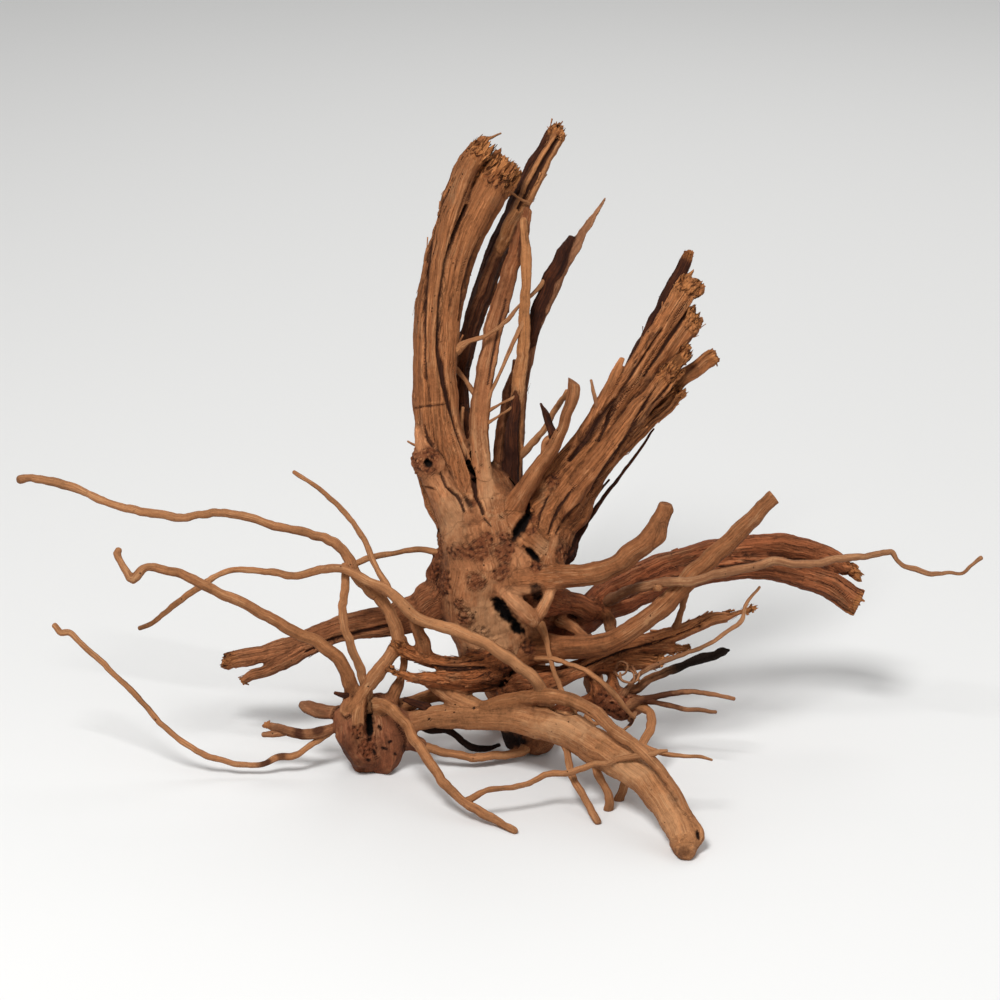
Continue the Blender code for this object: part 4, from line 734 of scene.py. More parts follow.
def centreline(route, step):
    # a smooth line through the stations, at even steps, with a frame that doesn't twist
    spots, radii = stationsOf(route)
    gaps = np.linalg.norm(np.diff(spots, axis=0), axis=1)
    slopes = np.diff(spots, axis=0) / gaps[:, None]
    bends = slopes[:1].tolist()
    for i in range(1, len(gaps)):
        share = gaps[i] / (gaps[i - 1] + gaps[i])
        bends.append(slopes[i - 1] * share + slopes[i] * (1 - share))
    bends = np.array([*bends, slopes[-1]])
    fine, thick = [], []
    for i, gap in enumerate(gaps):
        t = np.linspace(0, 1, max(3, int(gap / 0.6)), endpoint=False)[:, None]
        fine.append(
            spots[i] * (2 * t**3 - 3 * t**2 + 1) + spots[i + 1] * (3 * t**2 - 2 * t**3)
            + bends[i] * gap * (t**3 - 2 * t**2 + t) + bends[i + 1] * gap * (t**3 - t**2)
        )
        eased = (3 * t**2 - 2 * t**3)[:, 0]
        thick.append(radii[i] * (1 - eased) + radii[i + 1] * eased)
    fine = np.concatenate([*fine, spots[-1:]])
    thick = np.concatenate([*thick, radii[-1:]])
    run = np.concatenate([[0], np.cumsum(np.linalg.norm(np.diff(fine, axis=0), axis=1))])
    seed = len(route) * 7.3 + abs(route[0][0]) * 1.7
    thin = np.clip(1.25 - thick / 5, 0.25, 1)
    noiseRow = lambda perMm, place: np.stack((run * perMm, np.full_like(run, place), run * 0), axis=1)
    for axis in range(3):
        row = noiseRow(wander["bendsPerMm"], seed + axis * 31)
        fine[:, axis] += (
            softNoise(row, 51) * thick * wander["bend"] * thin
            + softNoise(row * (2.7, 1, 1), 52) * thick * wander["kink"] * thin
        )
    row, swell = noiseRow(wander["swellsPerMm"], seed), wander["swell"]
    thick = thick * (1 + thin * (swell * softNoise(row, 53) + swell * softNoise(row * (2.6, 1, 1), 54)))
    along = np.linspace(0, run[-1], max(4, int(round(run[-1] / step)) + 1))
    points = np.stack([np.interp(along, run, fine[:, axis]) for axis in range(3)], axis=1)
    tangents = np.gradient(points, axis=0)
    tangents /= np.linalg.norm(tangents, axis=1)[:, None]
    sides = np.zeros_like(tangents)
    side = np.cross(tangents[0], (0, 1, 0) if abs(tangents[0][1]) < 0.8 else (1, 0, 0))
    for i, tangent in enumerate(tangents):
        side = side - tangent * side.dot(tangent)
        side /= np.linalg.norm(side)
        sides[i] = side
    return {
        "points": points, "radii": np.interp(along, run, thick), "along": along, "tangents": tangents,
        "sides": sides, "others": np.cross(tangents, sides), "length": run[-1], "step": along[1],
    }


# Limbs up to this thick, in mm, stay tubes of their own; thicker ones are fused. Steps are along the line.
sizing = {"tubesTo": 4.9, "fineBelow": 5, "fineStep": 1.0, "step": 2.0}

limbs = []
for group, routes in groups.items():
    for limbName, route in routes.items():
        usual = sorted(station[3] for station in route)[len(route) // 2]
        step = sizing["fineStep"] if usual < sizing["fineBelow"] else sizing["step"]
        limbs.append({
            "name": limbName, "number": len(limbs), "piece": group, "look": woodLooks[lookOf[limbName]],
            "line": centreline(route, step), "usual": usual, "fused": usual >= sizing["tubesTo"],
            "torn": tornEnds.get(limbName, (0, 0, 0)),
        })
fusedLimbs = [limb for limb in limbs if limb["fused"]]
lengthOf = np.array([limb["line"]["length"] for limb in limbs])
radiusOf = np.array([limb["usual"] / 2 for limb in limbs])
tearOf = np.array([limb["torn"][0] for limb in limbs])
print("limbs:", len(limbs))


def perLimb(key, usual=0):
    return np.array([limb["look"].get(key, usual) for limb in limbs])


def numbersOf(words):
    # the limbs whose names start with one of the words
    return [limb["number"] for limb in limbs if limb["name"].startswith(tuple(words.split()))]


# A round end: how far past the line's end each ring is, in radii, and how much narrower
roundEnd = [(0.74, 0.25), (0.62, 0.58), (0.35, 0.86)]


def sidesFor(limb):
    thick = limb["usual"]
    if limb["fused"]:
        return 24 if thick < 16 else 36
    return 12 if thick < 3.4 else 16


def outwards(line, i, turn):
    return line["sides"][i] * math.cos(turn) + line["others"][i] * math.sin(turn)


def sweep(limb):
    # a ring carried along the limb's line: extruded, turned and scaled at every step
    line = limb["line"]
    chance = random.Random(limb["number"])
    phases = [chance.uniform(0, 2 * math.pi) for _ in range(4)]
    tube = bmesh.new()
    ring = bmesh.ops.create_circle(tube, cap_ends=False, segments=sidesFor(limb), radius=1)["verts"]
    faced = limb["look"].get("flats", 0)
    sidesAt = [
        (2 * math.pi * (i + chance.uniform(-0.25, 0.25)) / faced, chance.uniform(0.78, 1.0)) for i in range(faced)
    ]
    for vertex in ring:
        turn = math.atan2(vertex.co.y, vertex.co.x)
        grow = 1 + limb["look"]["lobes"] * (
            math.cos(2 * turn + phases[0]) + 0.6 * math.cos(3 * turn + phases[1]) + 0.5 * math.cos(5 * turn + phases[2])
        )
        if faced:
            grow *= 1.08 * min(reach / max(math.cos(turn - aim), 0.3) for aim, reach in sidesAt)
        vertex.co *= min(grow, 1.3)
    firstRing = edges = list(tube.edges)
    last = len(line["points"]) - 1
    stops = [(0, -beyond, shrink) for beyond, shrink in roundEnd] + [(i, 0, 1) for i in range(last + 1)]
    if not limb["torn"][0]:
        stops += [(last, beyond, shrink) for beyond, shrink in reversed(roundEnd)]
    before = Matrix.Identity(4)
    twist = chance.uniform(-0.006, 0.006)
    for number, (i, beyond, shrink) in enumerate(stops):
        size = line["radii"][i] * shrink
        here = Matrix.Identity(4)
        turn = twist * line["along"][i]
        side = outwards(line, i, turn)
        other = line["others"][i] * math.cos(turn) - line["sides"][i] * math.sin(turn)
        centre = line["points"][i] + line["tangents"][i] * line["radii"][i] * beyond
        for row in range(3):
            here[row] = (side[row] * size, other[row] * size, line["tangents"][i][row], centre[row])
        if number:
            grown = bmesh.ops.extrude_edge_only(tube, edges=edges)["geom"]
            ring = [item for item in grown if isinstance(item, bmesh.types.BMVert)]
            edges = [item for item in grown if isinstance(item, bmesh.types.BMEdge)]
        bmesh.ops.transform(tube, matrix=here @ before.inverted(), verts=ring)
        before = here
    bmesh.ops.edgeloop_fill(tube, edges=firstRing)
    bmesh.ops.edgeloop_fill(tube, edges=edges)
    bmesh.ops.recalc_face_normals(tube, faces=tube.faces)
    return tube


def gather(chosen):
    # the tubes of some limbs in one mesh, in order, with the vertex range of each
    whole = bmesh.new()
    ranges = []
    for tube in [sweep(limb) for limb in chosen]:
        loose = bpy.data.meshes.new("loose")
        tube.to_mesh(loose)
        start = len(whole.verts)
        whole.from_mesh(loose)
        ranges.append((start, len(whole.verts)))
        bpy.data.meshes.remove(loose)
        tube.free()
    return whole, ranges


def meshFrom(whole, name):
    # from mm to metres
    bmesh.ops.scale(whole, vec=(0.001, 0.001, 0.001), verts=whole.verts)
    mesh = bpy.data.meshes.new(name)
    whole.to_mesh(mesh)
    whole.free()
    return mesh


def readAll(items, name, width, kind=np.float32):
    flat = np.empty(len(items) * width, kind)
    items.foreach_get(name, flat)
    return flat.reshape(-1, width)


def pointsOf(mesh):
    return readAll(mesh.vertices, "co", 3).astype(np.float64) * 1000


def normalsOf(mesh):
    return readAll(mesh.vertex_normals, "vector", 3).astype(np.float64)


def edgesOf(mesh):
    return readAll(mesh.edges, "vertices", 2, np.int32)


def setPoints(mesh, points):
    # in mm, kept inside the model's box
    points = np.clip(points, *(np.array(corner) * 1000 for corner in cadBox))
    mesh.vertices.foreach_set("co", (points * 0.001).astype(np.float32).ravel())
    mesh.update()


def alongLimb(points, limb):
    # for each point: its place across and along the limb, and how far outside the limb it is
    line = limb["line"]
    centres, radii = line["points"], line["radii"]
    nearest = np.empty(len(points), np.int64)
    for start in range(0, len(points), 20000):
        part = points[start:start + 20000]
        square = (part**2).sum(1)[:, None] + (centres**2).sum(1)[None, :] - 2 * part @ centres.T
        nearest[start:start + 20000] = (np.sqrt(np.maximum(square, 0)) - radii[None, :]).argmin(1)
    offset = points - centres[nearest]
    ahead = (offset * line["tangents"][nearest]).sum(1)
    run = line["along"][nearest] + np.clip(ahead, -line["step"], line["step"])
    run = np.clip(run, 0, line["length"])
    place = run / line["step"]
    lower = np.minimum(place.astype(np.int64), len(centres) - 2)
    share = (place - lower)[:, None]
    centre, side, other, tangent = (
        line[key][lower] * (1 - share) + line[key][lower + 1] * share
        for key in ("points", "sides", "others", "tangents")
    )
    away = points - centre
    grain = np.stack(((away * side).sum(1), (away * other).sum(1), run + (away * tangent).sum(1)), axis=1)
    outside = np.linalg.norm(away, axis=1) - np.interp(run, line["along"], radii)
    return {"outside": outside, "limb": np.full(len(points), limb["number"]), "grain": grain, "run": run}


# Within this many mm the grain of one limb blends into the next; crisp limbs keep to themselves
blending = {"soft": 6.0, "crisp": 0.9}


def readLimbs(points, candidates, ranges=None):
    # the nearest limb of every point and the next one, and how much of the next shows where they meet
    count = len(points)
    best = {
        "outside": np.full(count, 1e6), "limb": np.zeros(count, np.int64), "grain": np.zeros((count, 3)),
        "run": np.zeros(count),
    }
    second = {key: value.copy() for key, value in best.items()}
    for number, limb in enumerate(candidates):
        if ranges:
            chosen = np.arange(*ranges[number])
        else:
            centres, reach = limb["line"]["points"], limb["line"]["radii"].max() * 1.3 + 5
            inside = (points > centres.min(0) - reach) & (points < centres.max(0) + reach)
            chosen = np.nonzero(inside.all(1))[0]
        if not len(chosen):
            continue
        found = alongLimb(points[chosen], limb)
        closer = found["outside"] < best["outside"][chosen]
        runnerUp = ~closer & (found["outside"] < second["outside"][chosen])
        for key, values in found.items():
            second[key][chosen[closer]] = best[key][chosen[closer]]
            best[key][chosen[closer]] = values[closer]
            second[key][chosen[runnerUp]] = values[runnerUp]
    crisp = perLimb("crisp")
    reach = np.where(crisp[best["limb"]] + crisp[second["limb"]] > 0, blending["crisp"], blending["soft"])
    blend = np.clip(0.5 - (second["outside"] - best["outside"]) / reach, 0, 0.5)
    return best, second, blend


grainShift = 37.7  # how far apart two limbs' noises are read, in mm
redder = np.array((1.02, 0.92, 0.90))  # a cast over all tones
sooty = {"allOver": "black_root", "fromTheMiddle": "black_tip_stick"}


def relief(reading, points):
    # how far the weathered surface stands out, and how deep in a crack each point is
    number = reading["limb"]
    ridge, lumpy, cracked = (perLimb(key)[number] for key in ("ridge", "lump", "crack"))
    radius = radiusOf[number]
    calm = np.clip(radius / 5, 0.25, 1)
    shifted = reading["grain"] + number[:, None] * grainShift
    # noise in the limb's own grain: bumps to a mm across it and along it
    grained = lambda across, along, seed: softNoise(shifted * (across, across, along), seed)
    fine, broad = grained(0.52, 0.035, 1), grained(0.24, 0.016, 2)
    lump = softNoise(points * 0.09, 3) + 0.5 * softNoise(points * 0.21, 4)
    knuckle = grained(0.02, 0.11, 5)
    seam = grained(0.30, 0.009, 6) + 0.15 * grained(0.8, 0.05, 7)
    openness = grained(0.1, 0.018, 8)
    crack = np.clip(1 - np.abs(seam) * 9, 0, 1) * np.clip(0.6 + openness * 1.6, 0, 1)
    out = ridge * calm * (0.55 * fine + broad) + lumpy * calm * 0.7 * lump
    out += np.minimum(radius * 0.12, 0.6) * knuckle + 0.13 * softNoise(points * 0.6, 9) * calm
    out -= cracked * crack * calm
    return out, crack * np.clip(cracked * 1.6, 0, 1)


def averageAround(values, edges, count):
    total = np.bincount(edges[:, 0], values[edges[:, 1]], count) + np.bincount(edges[:, 1], values[edges[:, 0]], count)
    number = np.bincount(edges[:, 0], minlength=count) + np.bincount(edges[:, 1], minlength=count)
    return total / np.maximum(number, 1)


def cavities(points, normals, edges):
    # from -1 in a groove to 1 on a ridge; the material darkens the grooves with it as painted shade and lightens the
    # ridges, partly as painted highlight
    count = len(points)
    around = np.stack([averageAround(points[:, axis], edges, count) for axis in range(3)], axis=1)
    bend = ((points - around) * normals).sum(1)
    for _ in range(2):
        bend = averageAround(bend, edges, count)
    return np.clip(bend * 14, -1, 1)


def dentHollows(points, normals):
    # pushes the rotted hollows in and says how black they are: partly dark rotted wood, partly painted shade inside the
    # holes
    seen, facing = asSeen(points), normals @ toEye
    black = np.zeros(len(points))
    rough = softNoise(points * 0.5, 11) * 0.22 + softNoise(points * 0.22, 12) * 0.25
    rough += softNoise(points * 1.1, 13) * 0.16
    for across, up, nearer, width, length, lean, depth, dark in hollows:
        cosLean, sinLean = math.cos(math.radians(lean)), math.sin(math.radians(lean))
        dx, dy = seen[:, 0] - across, seen[:, 1] - up
        wide = (dx * cosLean + dy * sinLean) / (width / 2)
        long = (dy * cosLean - dx * sinLean) / (length / 2)
        away = np.sqrt(wide**2 + long**2) + rough
        near = (np.abs(seen[:, 2] - nearer) < 16) & (facing > -0.1)
        mask = np.clip((1.2 - away) / 0.75, 0, 1) * near
        points = points - toEye * (mask * (0.4 + 0.6 * mask) * depth)[:, None]
        black = np.maximum(black, np.clip(mask * 1.9 - 0.45, 0, 1) * dark)
    return points, black


def stainOf(points, reading):
    # above 0 where the wood is stained, below 0 where it is paler: partly pale wood, partly painted highlight on lit
    # places
    seen = asSeen(points)
    amount = np.zeros(len(points))
    rough = softNoise(points * 0.4, 14) * 0.4 + softNoise(points * 0.9, 15) * 0.2
    for words, (across, up), wide, tall, strength in stains:
        away = np.sqrt(((seen[:, 0] - across) / wide) ** 2 + ((seen[:, 1] - up) / tall) ** 2) + rough
        here = np.clip(1.35 - away, 0, 1) * np.isin(reading["limb"], numbersOf(words)) * strength
        amount = np.where(np.abs(here) > np.abs(amount), here, amount)
    return amount


def growBurrs(points, normals):
    # low domes covered in small buds, with dark pits between the buds, or sponge-like pits
    seen = asSeen(points)
    total, mask, pits = (np.zeros(len(points)) for _ in range(3))
    edge = softNoise(points * 0.45, 33) * 0.3
    for across, up, nearer, spread, size, height in burrs:
        dx, dy, dz = seen[:, 0] - across, seen[:, 1] - up, (seen[:, 2] - nearer) * 0.35
        away = np.sqrt(dx**2 + dy**2 + dz**2) / spread
        some = np.nonzero(away < 1.4)[0]
        if not len(some):
            continue
        dome = np.clip(1.15 - (away[some] + edge[some]) ** 2, 0, 1)
        here = np.clip(dome * 2, 0, 1)
        bent = points[some] + (softNoise(points[some] * 0.8, 35) * 0.5)[:, None] * (1, -1, 1)
        cells = cellNoise(bent / size, 31)
        if height > 0:
            lift = dome * spread * 0.24 + here * (0.5 - cells) * height
            pit = here * np.clip((cells - 0.5) * 5, 0, 1)
        else:
            lift = here * np.clip(0.45 - cells, 0, 1) * height * 2.2
            pit = here * np.clip((0.40 - cells) * 6, 0, 1)
        total[some] = np.where(here > mask[some], lift, total[some])
        pits[some] = np.where(here > mask[some], pit, pits[some])
        mask[some] = np.maximum(mask[some], here)
    return points + normals * total[:, None], mask, pits


def pressFlats(points, reading):
    for words, spot, facing in flats:
        right, up, near = np.array(facing) / np.linalg.norm(facing)
        way = np.array((right, up * sinTilt - near * cosTilt, up * cosTilt + near * sinTilt))
        beyond = np.maximum((points - toFrame(*spot)) @ way, 0) * np.isin(reading["limb"], numbersOf(words))
        points = points - way * (beyond * 0.9)[:, None]
    return points


def cutGrooves(points, normals, reading):
    # splits along the shards and roots, on the side that the photograph shows
    seen, facing = asSeen(points), normals @ toEye
    depthHere, darkHere = np.zeros(len(points)), np.zeros(len(points))
    stray = softNoise(points * 0.16, 41)
    for words, width, depth, dark, way in grooves:
        chosen = np.nonzero(np.isin(reading["limb"], numbersOf(words)) & (facing > 0.05))[0]
        spots = seen[chosen, :2] + stray[chosen, None] * 0.45
        away = np.full(len(chosen), 99.0)
        run = np.zeros(len(chosen))
        for number, (start, finish) in enumerate(zip(way, way[1:])):
            start, finish = np.array(start), np.array(finish)
            reach = finish - start
            share = np.clip(((spots - start) @ reach) / (reach @ reach), 0, 1)
            here = np.linalg.norm(spots - start - share[:, None] * reach, axis=1)
            run = np.where(here < away, (number + share) / (len(way) - 1), run)
            away = np.minimum(away, here)
        narrow = width * (0.35 + 0.65 * np.sin(np.pi * np.clip(run, 0.06, 0.94)))
        cut = np.clip(1.2 - away / narrow, 0, 1)
        depthHere[chosen] = np.maximum(depthHere[chosen], cut * depth)
        darkHere[chosen] = np.maximum(darkHere[chosen], np.clip(cut * 1.3, 0, 1) * dark)
    return points - normals * depthHere[:, None], darkHere


def tearEnds(points, reading):
    # breaks the torn ends up into fibres of uneven length
    run, number = reading["run"], reading["limb"]
    depth = tearOf[number]
    reach = np.where(depth > 0, (run - lengthOf[number] + depth * 1.6) / np.maximum(depth * 1.2, 0.1), 0)
    amount = np.clip(reach, 0, 1)
    shifted = reading["grain"] + number[:, None] * grainShift
    stepped = softNoise(shifted * (1.1, 1.1, 0.02), 21) + 0.7 * softNoise(shifted * (0.45, 0.45, 0.01), 22)
    tangents = np.zeros_like(points)
    for limb in limbs:
        mine = number == limb["number"]
        if limb["torn"][0] and mine.any():
            tangents[mine] = limb["line"]["tangents"][-1]
    moved = points + tangents * (amount**2 * depth * 0.5 * (stepped - 0.35))[:, None]
    crags = [softNoise(points * 0.55, 23 + axis) + 0.6 * softNoise(points * 1.1, 27 + axis) for axis in range(3)]
    return moved + np.stack(crags, axis=1) * (amount * np.minimum(depth, 8) * 0.13)[:, None], amount


def store(mesh, name, values):
    kind = "FLOAT_VECTOR" if values.ndim == 2 else "FLOAT"
    layer = mesh.attributes.new(name, kind, "POINT")
    layer.data.foreach_set("vector" if values.ndim == 2 else "value", values.astype(np.float32).ravel())


def weather(mesh, candidates, ranges=None, withDents=False):
    # gives a smooth mesh its relief and stores what the wood material reads
    points, normals = pointsOf(mesh), normalsOf(mesh)
    best, second, blend = readLimbs(points, candidates, ranges)
    number, run = best["limb"], best["run"]
    blended = lambda values: values[number] * (1 - blend) + values[second["limb"]] * blend
    out, crack = relief(best, points)
    meets = blend > 0.001
    secondOut, secondCrack = np.zeros(len(points)), np.zeros(len(points))
    if meets.any():
        some = {key: value[meets] for key, value in second.items()}
        secondOut[meets], secondCrack[meets] = relief(some, points[meets])
    out = out * (1 - blend) + secondOut * blend
    crack = crack * (1 - blend) + secondCrack * blend
    points, tornAmount = tearEnds(points, best)
    points = points + normals * out[:, None]
    burr, black = np.zeros(len(points)), np.zeros(len(points))
    if withDents:
        points = pressFlats(points, best)
        points, burr, pits = growBurrs(points, normals)
        points, dark = cutGrooves(points, normals, best)
        points, black = dentHollows(points, normals)
        crack = np.maximum(crack, np.maximum(dark, pits * 0.8))
    setPoints(mesh, points)
    cavity = cavities(pointsOf(mesh), normalsOf(mesh), edgesOf(mesh))
    tone = np.zeros((len(points), 3))
    for reading, weight in ((best, 1 - blend), (second, blend)):
        share = (reading["run"] / lengthOf[reading["limb"]])[:, None]
        start, finish = perLimb("tone")[reading["limb"]], perLimb("tip")[reading["limb"]]
        tone += (start * (1 - share) + finish * share) * redder * weight[:, None]
    row = np.stack((number * 13.7, run * 0.075, run * 0), axis=1)
    bark = blended(perLimb("bark")) + np.clip(softNoise(row, 61) - 0.4, 0, 0.5) * perLimb("patchy")[number] * 0.4
    tipped, = numbersOf(sooty["fromTheMiddle"])
    blackened = np.clip((run / lengthOf[tipped] - 0.33 + crack * 0.2) * 4, 0, 0.97)
    black = np.maximum(black, np.isin(number, numbersOf(sooty["allOver"])) * 0.75)
    black = np.maximum(black, (number == tipped) * blackened)
    store(mesh, "grain", best["grain"] + number[:, None] * grainShift)
    store(mesh, "grainNext", second["grain"] + second["limb"][:, None] * grainShift)
    store(mesh, "tone", tone)
    store(mesh, "barkTornAndBlack", np.stack((bark, tornAmount, black), axis=1))
    store(mesh, "shape", np.stack((crack, cavity, burr), axis=1))
    store(mesh, "blend", blend)
    # painted shade: the more a point faces down, the more its colour is darkened below
    split, undersideShade = np.clip(blended(perLimb("crack")), 0, 1), np.clip(0.25 - normals[:, 2], 0, 1)
    store(mesh, "splitStainAndUnderShade", np.stack((split, stainOf(points, best), undersideShade), axis=1))
    return best


def newObject(name, mesh):
    piece = bpy.data.objects.new(name, mesh)
    bpy.context.scene.collection.objects.link(piece)
    return piece


def settle(piece, material):
    piece.data.materials.clear()
    piece.data.materials.append(material)
    piece.data.polygons.foreach_set("use_smooth", [True] * len(piece.data.polygons))
    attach(piece, "root")
    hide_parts("spiderwood_root")
    print("piece:", piece.name, len(piece.data.polygons), "faces,", round(time.time() - startTime), "s")


# The thick limbs become one grown body, one skin over all of them: the size of the skin's cells in mm,
# how often it is smoothed, and how often the joins are
fusing = {"skin": 0.7, "rounds": 4, "joinRounds": 30}


def growBody():
    whole, _ = gather(fusedLimbs)
    body = newObject("grown", meshFrom(whole, "grown"))
    skin = body.modifiers.new("skin", "REMESH")
    skin.mode = "VOXEL"
    skin.voxel_size = fusing["skin"] * 0.001
    ease = body.modifiers.new("ease", "SMOOTH")
    ease.factor = 0.5
    ease.iterations = fusing["rounds"]
    bpy.context.view_layer.update()
    finished = bpy.data.meshes.new_from_object(body.evaluated_get(bpy.context.evaluated_depsgraph_get()))
    bpy.data.objects.remove(body)
    print("grown body:", len(finished.polygons), "faces,", round(time.time() - startTime), "s")
    return finished


def easeJoins(mesh):
    # rounds the creases where limbs meet, more on the trunk than on the split shards
    points, edges = pointsOf(mesh), edgesOf(mesh)
    best, second, blend = readLimbs(points, fusedLimbs)
    fillet = perLimb("fillet", 0.3)
    amount = fillet[best["limb"]] * (1 - blend) + fillet[second["limb"]] * blend
    amount = amount * np.clip(blend * 2.2 + np.clip((radiusOf[best["limb"]] - 7) / 14, 0, 0.5), 0, 1)
    for _ in range(12):
        amount = averageAround(amount, edges, len(points))
    for _ in range(fusing["joinRounds"]):
        for axis in range(3):
            around = averageAround(points[:, axis], edges, len(points))
            points[:, axis] += (around - points[:, axis]) * amount
    setPoints(mesh, points)


def groupsOf(mesh, best):
    # which piece each vertex belongs to, with the borders evened out
    names = sorted({limb["piece"] for limb in fusedLimbs})
    index = np.array([names.index(limb["piece"]) if limb["piece"] in names else 0 for limb in limbs])
    label = index[best["limb"]]
    edges = edgesOf(mesh)
    for _ in range(14):
        label = np.stack([
            averageAround((label == number).astype(float), edges, len(label)) + 0.2 * (label == number)
            for number in range(len(names))
        ]).argmax(0)
    return names, label


def splitBody(mesh, best, material):
    # one piece for each group of limbs, closed where it was parted
    names, label = groupsOf(mesh, best)
    store(mesh, "skinNormal", normalsOf(mesh))
    firstCorner = readAll(mesh.polygons, "loop_start", 1, np.int32)[:, 0]
    faceLabel = label[readAll(mesh.loops, "vertex_index", 1, np.int32)[firstCorner, 0]]
    for number, name in enumerate(names):
        part = bmesh.new()
        part.from_mesh(mesh)
        part.faces.ensure_lookup_table()
        others = [part.faces[i] for i in np.nonzero(faceLabel != number)[0]]
        bmesh.ops.delete(part, geom=others, context="FACES")
        rims = [edge for edge in part.edges if edge.is_boundary]
        closing = bmesh.ops.holes_fill(part, edges=rims, sides=0)["faces"]
        bmesh.ops.poke(part, faces=closing)
        ownMesh = bpy.data.meshes.new(name)
        part.to_mesh(ownMesh)
        part.free()
        settle(newObject(name, ownMesh), material)
        kept = readAll(ownMesh.attributes["skinNormal"].data, "vector", 3)
        ownMesh.normals_split_custom_set_from_vertices(kept.tolist())
        ownMesh.attributes.remove(ownMesh.attributes["skinNormal"])
    bpy.data.meshes.remove(mesh)


def growFine(material):
    # the thin roots and twigs, each its own tube, in one piece for each group
    thin = [limb for limb in limbs if not limb["fused"]]
    for name in sorted({limb["piece"] for limb in thin}):
        chosen = [limb for limb in thin if limb["piece"] == name]
        whole, ranges = gather(chosen)
        mesh = meshFrom(whole, name + "_thin")
        weather(mesh, chosen, ranges)
        settle(newObject(name + "_thin", mesh), material)


def setSplinter(whole, chance, foot, lean, tall, thick, sharp):
    made = bmesh.ops.create_cone(
        whole, cap_ends=True, segments=4, radius1=thick, radius2=thick * sharp, depth=tall
    )["verts"]
    bmesh.ops.scale(whole, vec=(chance.uniform(0.6, 1.9), 1, 1), verts=made)
    lean = Vector(lean).normalized()
    aim = lean.to_track_quat("Z", "X").to_matrix().to_4x4()
    spin = Matrix.Rotation(chance.uniform(0, math.pi), 4, "Z")
    heart = Vector(foot) + lean * tall * 0.38
    bmesh.ops.transform(whole, matrix=Matrix.Translation(heart) @ aim @ spin, verts=made)


# limbs' first words, how many fibres lift off them, their length and how far they lean out
liftedFibres = [
    ("bundle_left", 60, 7, 0.16), ("bundle_back", 30, 7, 0.16), ("bundle_front", 46, 7, 0.16),
    ("bundle_notched", 26, 6, 0.16), ("bundle_right", 34, 7, 0.18), ("left_shard", 30, 6, 0.07),
    ("tall_shard", 50, 5, 0.16), ("spiked", 26, 5, 0.2), ("spike_bark", 26, 4, 0.2), ("tall_bark", 30, 4, 0.2),
    ("back_root", 24, 5, 0.07), ("split_root", 36, 5, 0.12), ("jaw", 60, 5, 0.2), ("torn_slab", 60, 5, 0.2),
    ("dark_s", 26, 4, 0.2), ("leg_shard", 16, 4, 0.16),
]


def growSplinters(material):
    # fibres that stand in the torn ends, crumbs between them, and fibres that lift off the split wood
    whole = bmesh.new()
    chance = random.Random(5)
    owners = []
    ranges = []
    for limb in limbs:
        depth, count, length = limb["torn"]
        lifted = [row for row in liftedFibres if limb["name"].startswith(row[0])]
        if not count and not lifted:
            continue
        line = limb["line"]
        last = len(line["points"]) - 1
        start = len(whole.verts)
        for number in range(count * 2):
            crumb = number >= count
            turn, out = chance.uniform(0, 2 * math.pi), math.sqrt(chance.random())
            back = chance.uniform(0.0 if crumb else 0.3, 1) * depth * 0.9
            i = int(max(0, min(last, (line["length"] - back) / line["step"])))
            side = outwards(line, i, turn)
            foot = line["points"][i] + side * line["radii"][i] * out * 0.95
            if crumb:
                lean = line["tangents"][i] + np.array([chance.gauss(0, 0.8) for _ in range(3)])
                setSplinter(whole, chance, foot, lean, chance.uniform(1.2, 3.2), chance.uniform(0.4, 0.95), 0.6)
            else:
                lean = line["tangents"][i] + side * chance.gauss(0.06, 0.22)
                tall = length * chance.uniform(0.35, 0.95)
                setSplinter(whole, chance, foot, lean, tall, chance.uniform(0.2, 0.7), chance.uniform(0.1, 0.5))
        for _, number, long, leaning in lifted:
            for _ in range(number):
                turn = chance.uniform(0, 2 * math.pi)
                i = int(chance.uniform(0.25, 0.97) * last)
                side = outwards(line, i, turn)
                way = 1 if chance.random() < 0.7 else -1
                lean = line["tangents"][i] * way + side * abs(chance.gauss(leaning, 0.12))
                foot = line["points"][i] + side * line["radii"][i] * 0.93
                setSplinter(whole, chance, foot, lean, long * chance.uniform(0.4, 1.2), chance.uniform(0.12, 0.34), 0.3)
        owners.append(limb)
        ranges.append((start, len(whole.verts)))
    mesh = meshFrom(whole, "splinters")
    weather(mesh, owners, ranges)
    settle(newObject("splinters", mesh), material)


wood = bpy.data.materials.new("root_wood")
wood.use_nodes = True
tree = wood.node_tree
tree.nodes.clear()


# An output socket that can be used in sums: each operator adds its Math node
class Wire:
    def __init__(self, socket):
        self.socket = socket

    def maths(self, operation, other=0.5, turned=False):
        first, later = (other, self) if turned else (self, other)
        return make("ShaderNodeMath", {"operation": operation}, {0: first, 1: later})

    def __add__(self, other):
        return self.maths("ADD", other)

    def __sub__(self, other):
        return self.maths("SUBTRACT", other)

    def __rsub__(self, other):
        return self.maths("SUBTRACT", other, turned=True)

    def __mul__(self, other):
        return self.maths("MULTIPLY", other)

    __radd__ = __add__
    __rmul__ = __mul__

    def size(self):
        return self.maths("ABSOLUTE")

    def between(self, low, high):
        # 0 up to low and 1 from high on
        settings = {"interpolation_type": "SMOOTHSTEP"}
        return make("ShaderNodeMapRange", settings, {"Value": self, "From Min": low, "From Max": high})


def make(kind, settings=None, inputs=None, output=0):
    # any node: its settings first, then the values or links of its sockets
    node = tree.nodes.new(kind)
    for name, value in (settings or {}).items():
        setattr(node, name, value)
    for name, value in (inputs or {}).items():
        if isinstance(value, Wire):
            tree.links.new(value.socket, node.inputs[name])
        else:
            node.inputs[name].default_value = value
    return Wire(node.outputs[output] if node.outputs else None)


def mixColour(share, first, second, way="MIX"):
    # colours come as sockets or by their names in woodColours
    first, second = ((*woodColours[end], 1) if isinstance(end, str) else end for end in (first, second))
    settings = {"data_type": "RGBA", "blend_type": way}
    return make("ShaderNodeMix", settings, {0: share, 6: first, 7: second}, output=2)


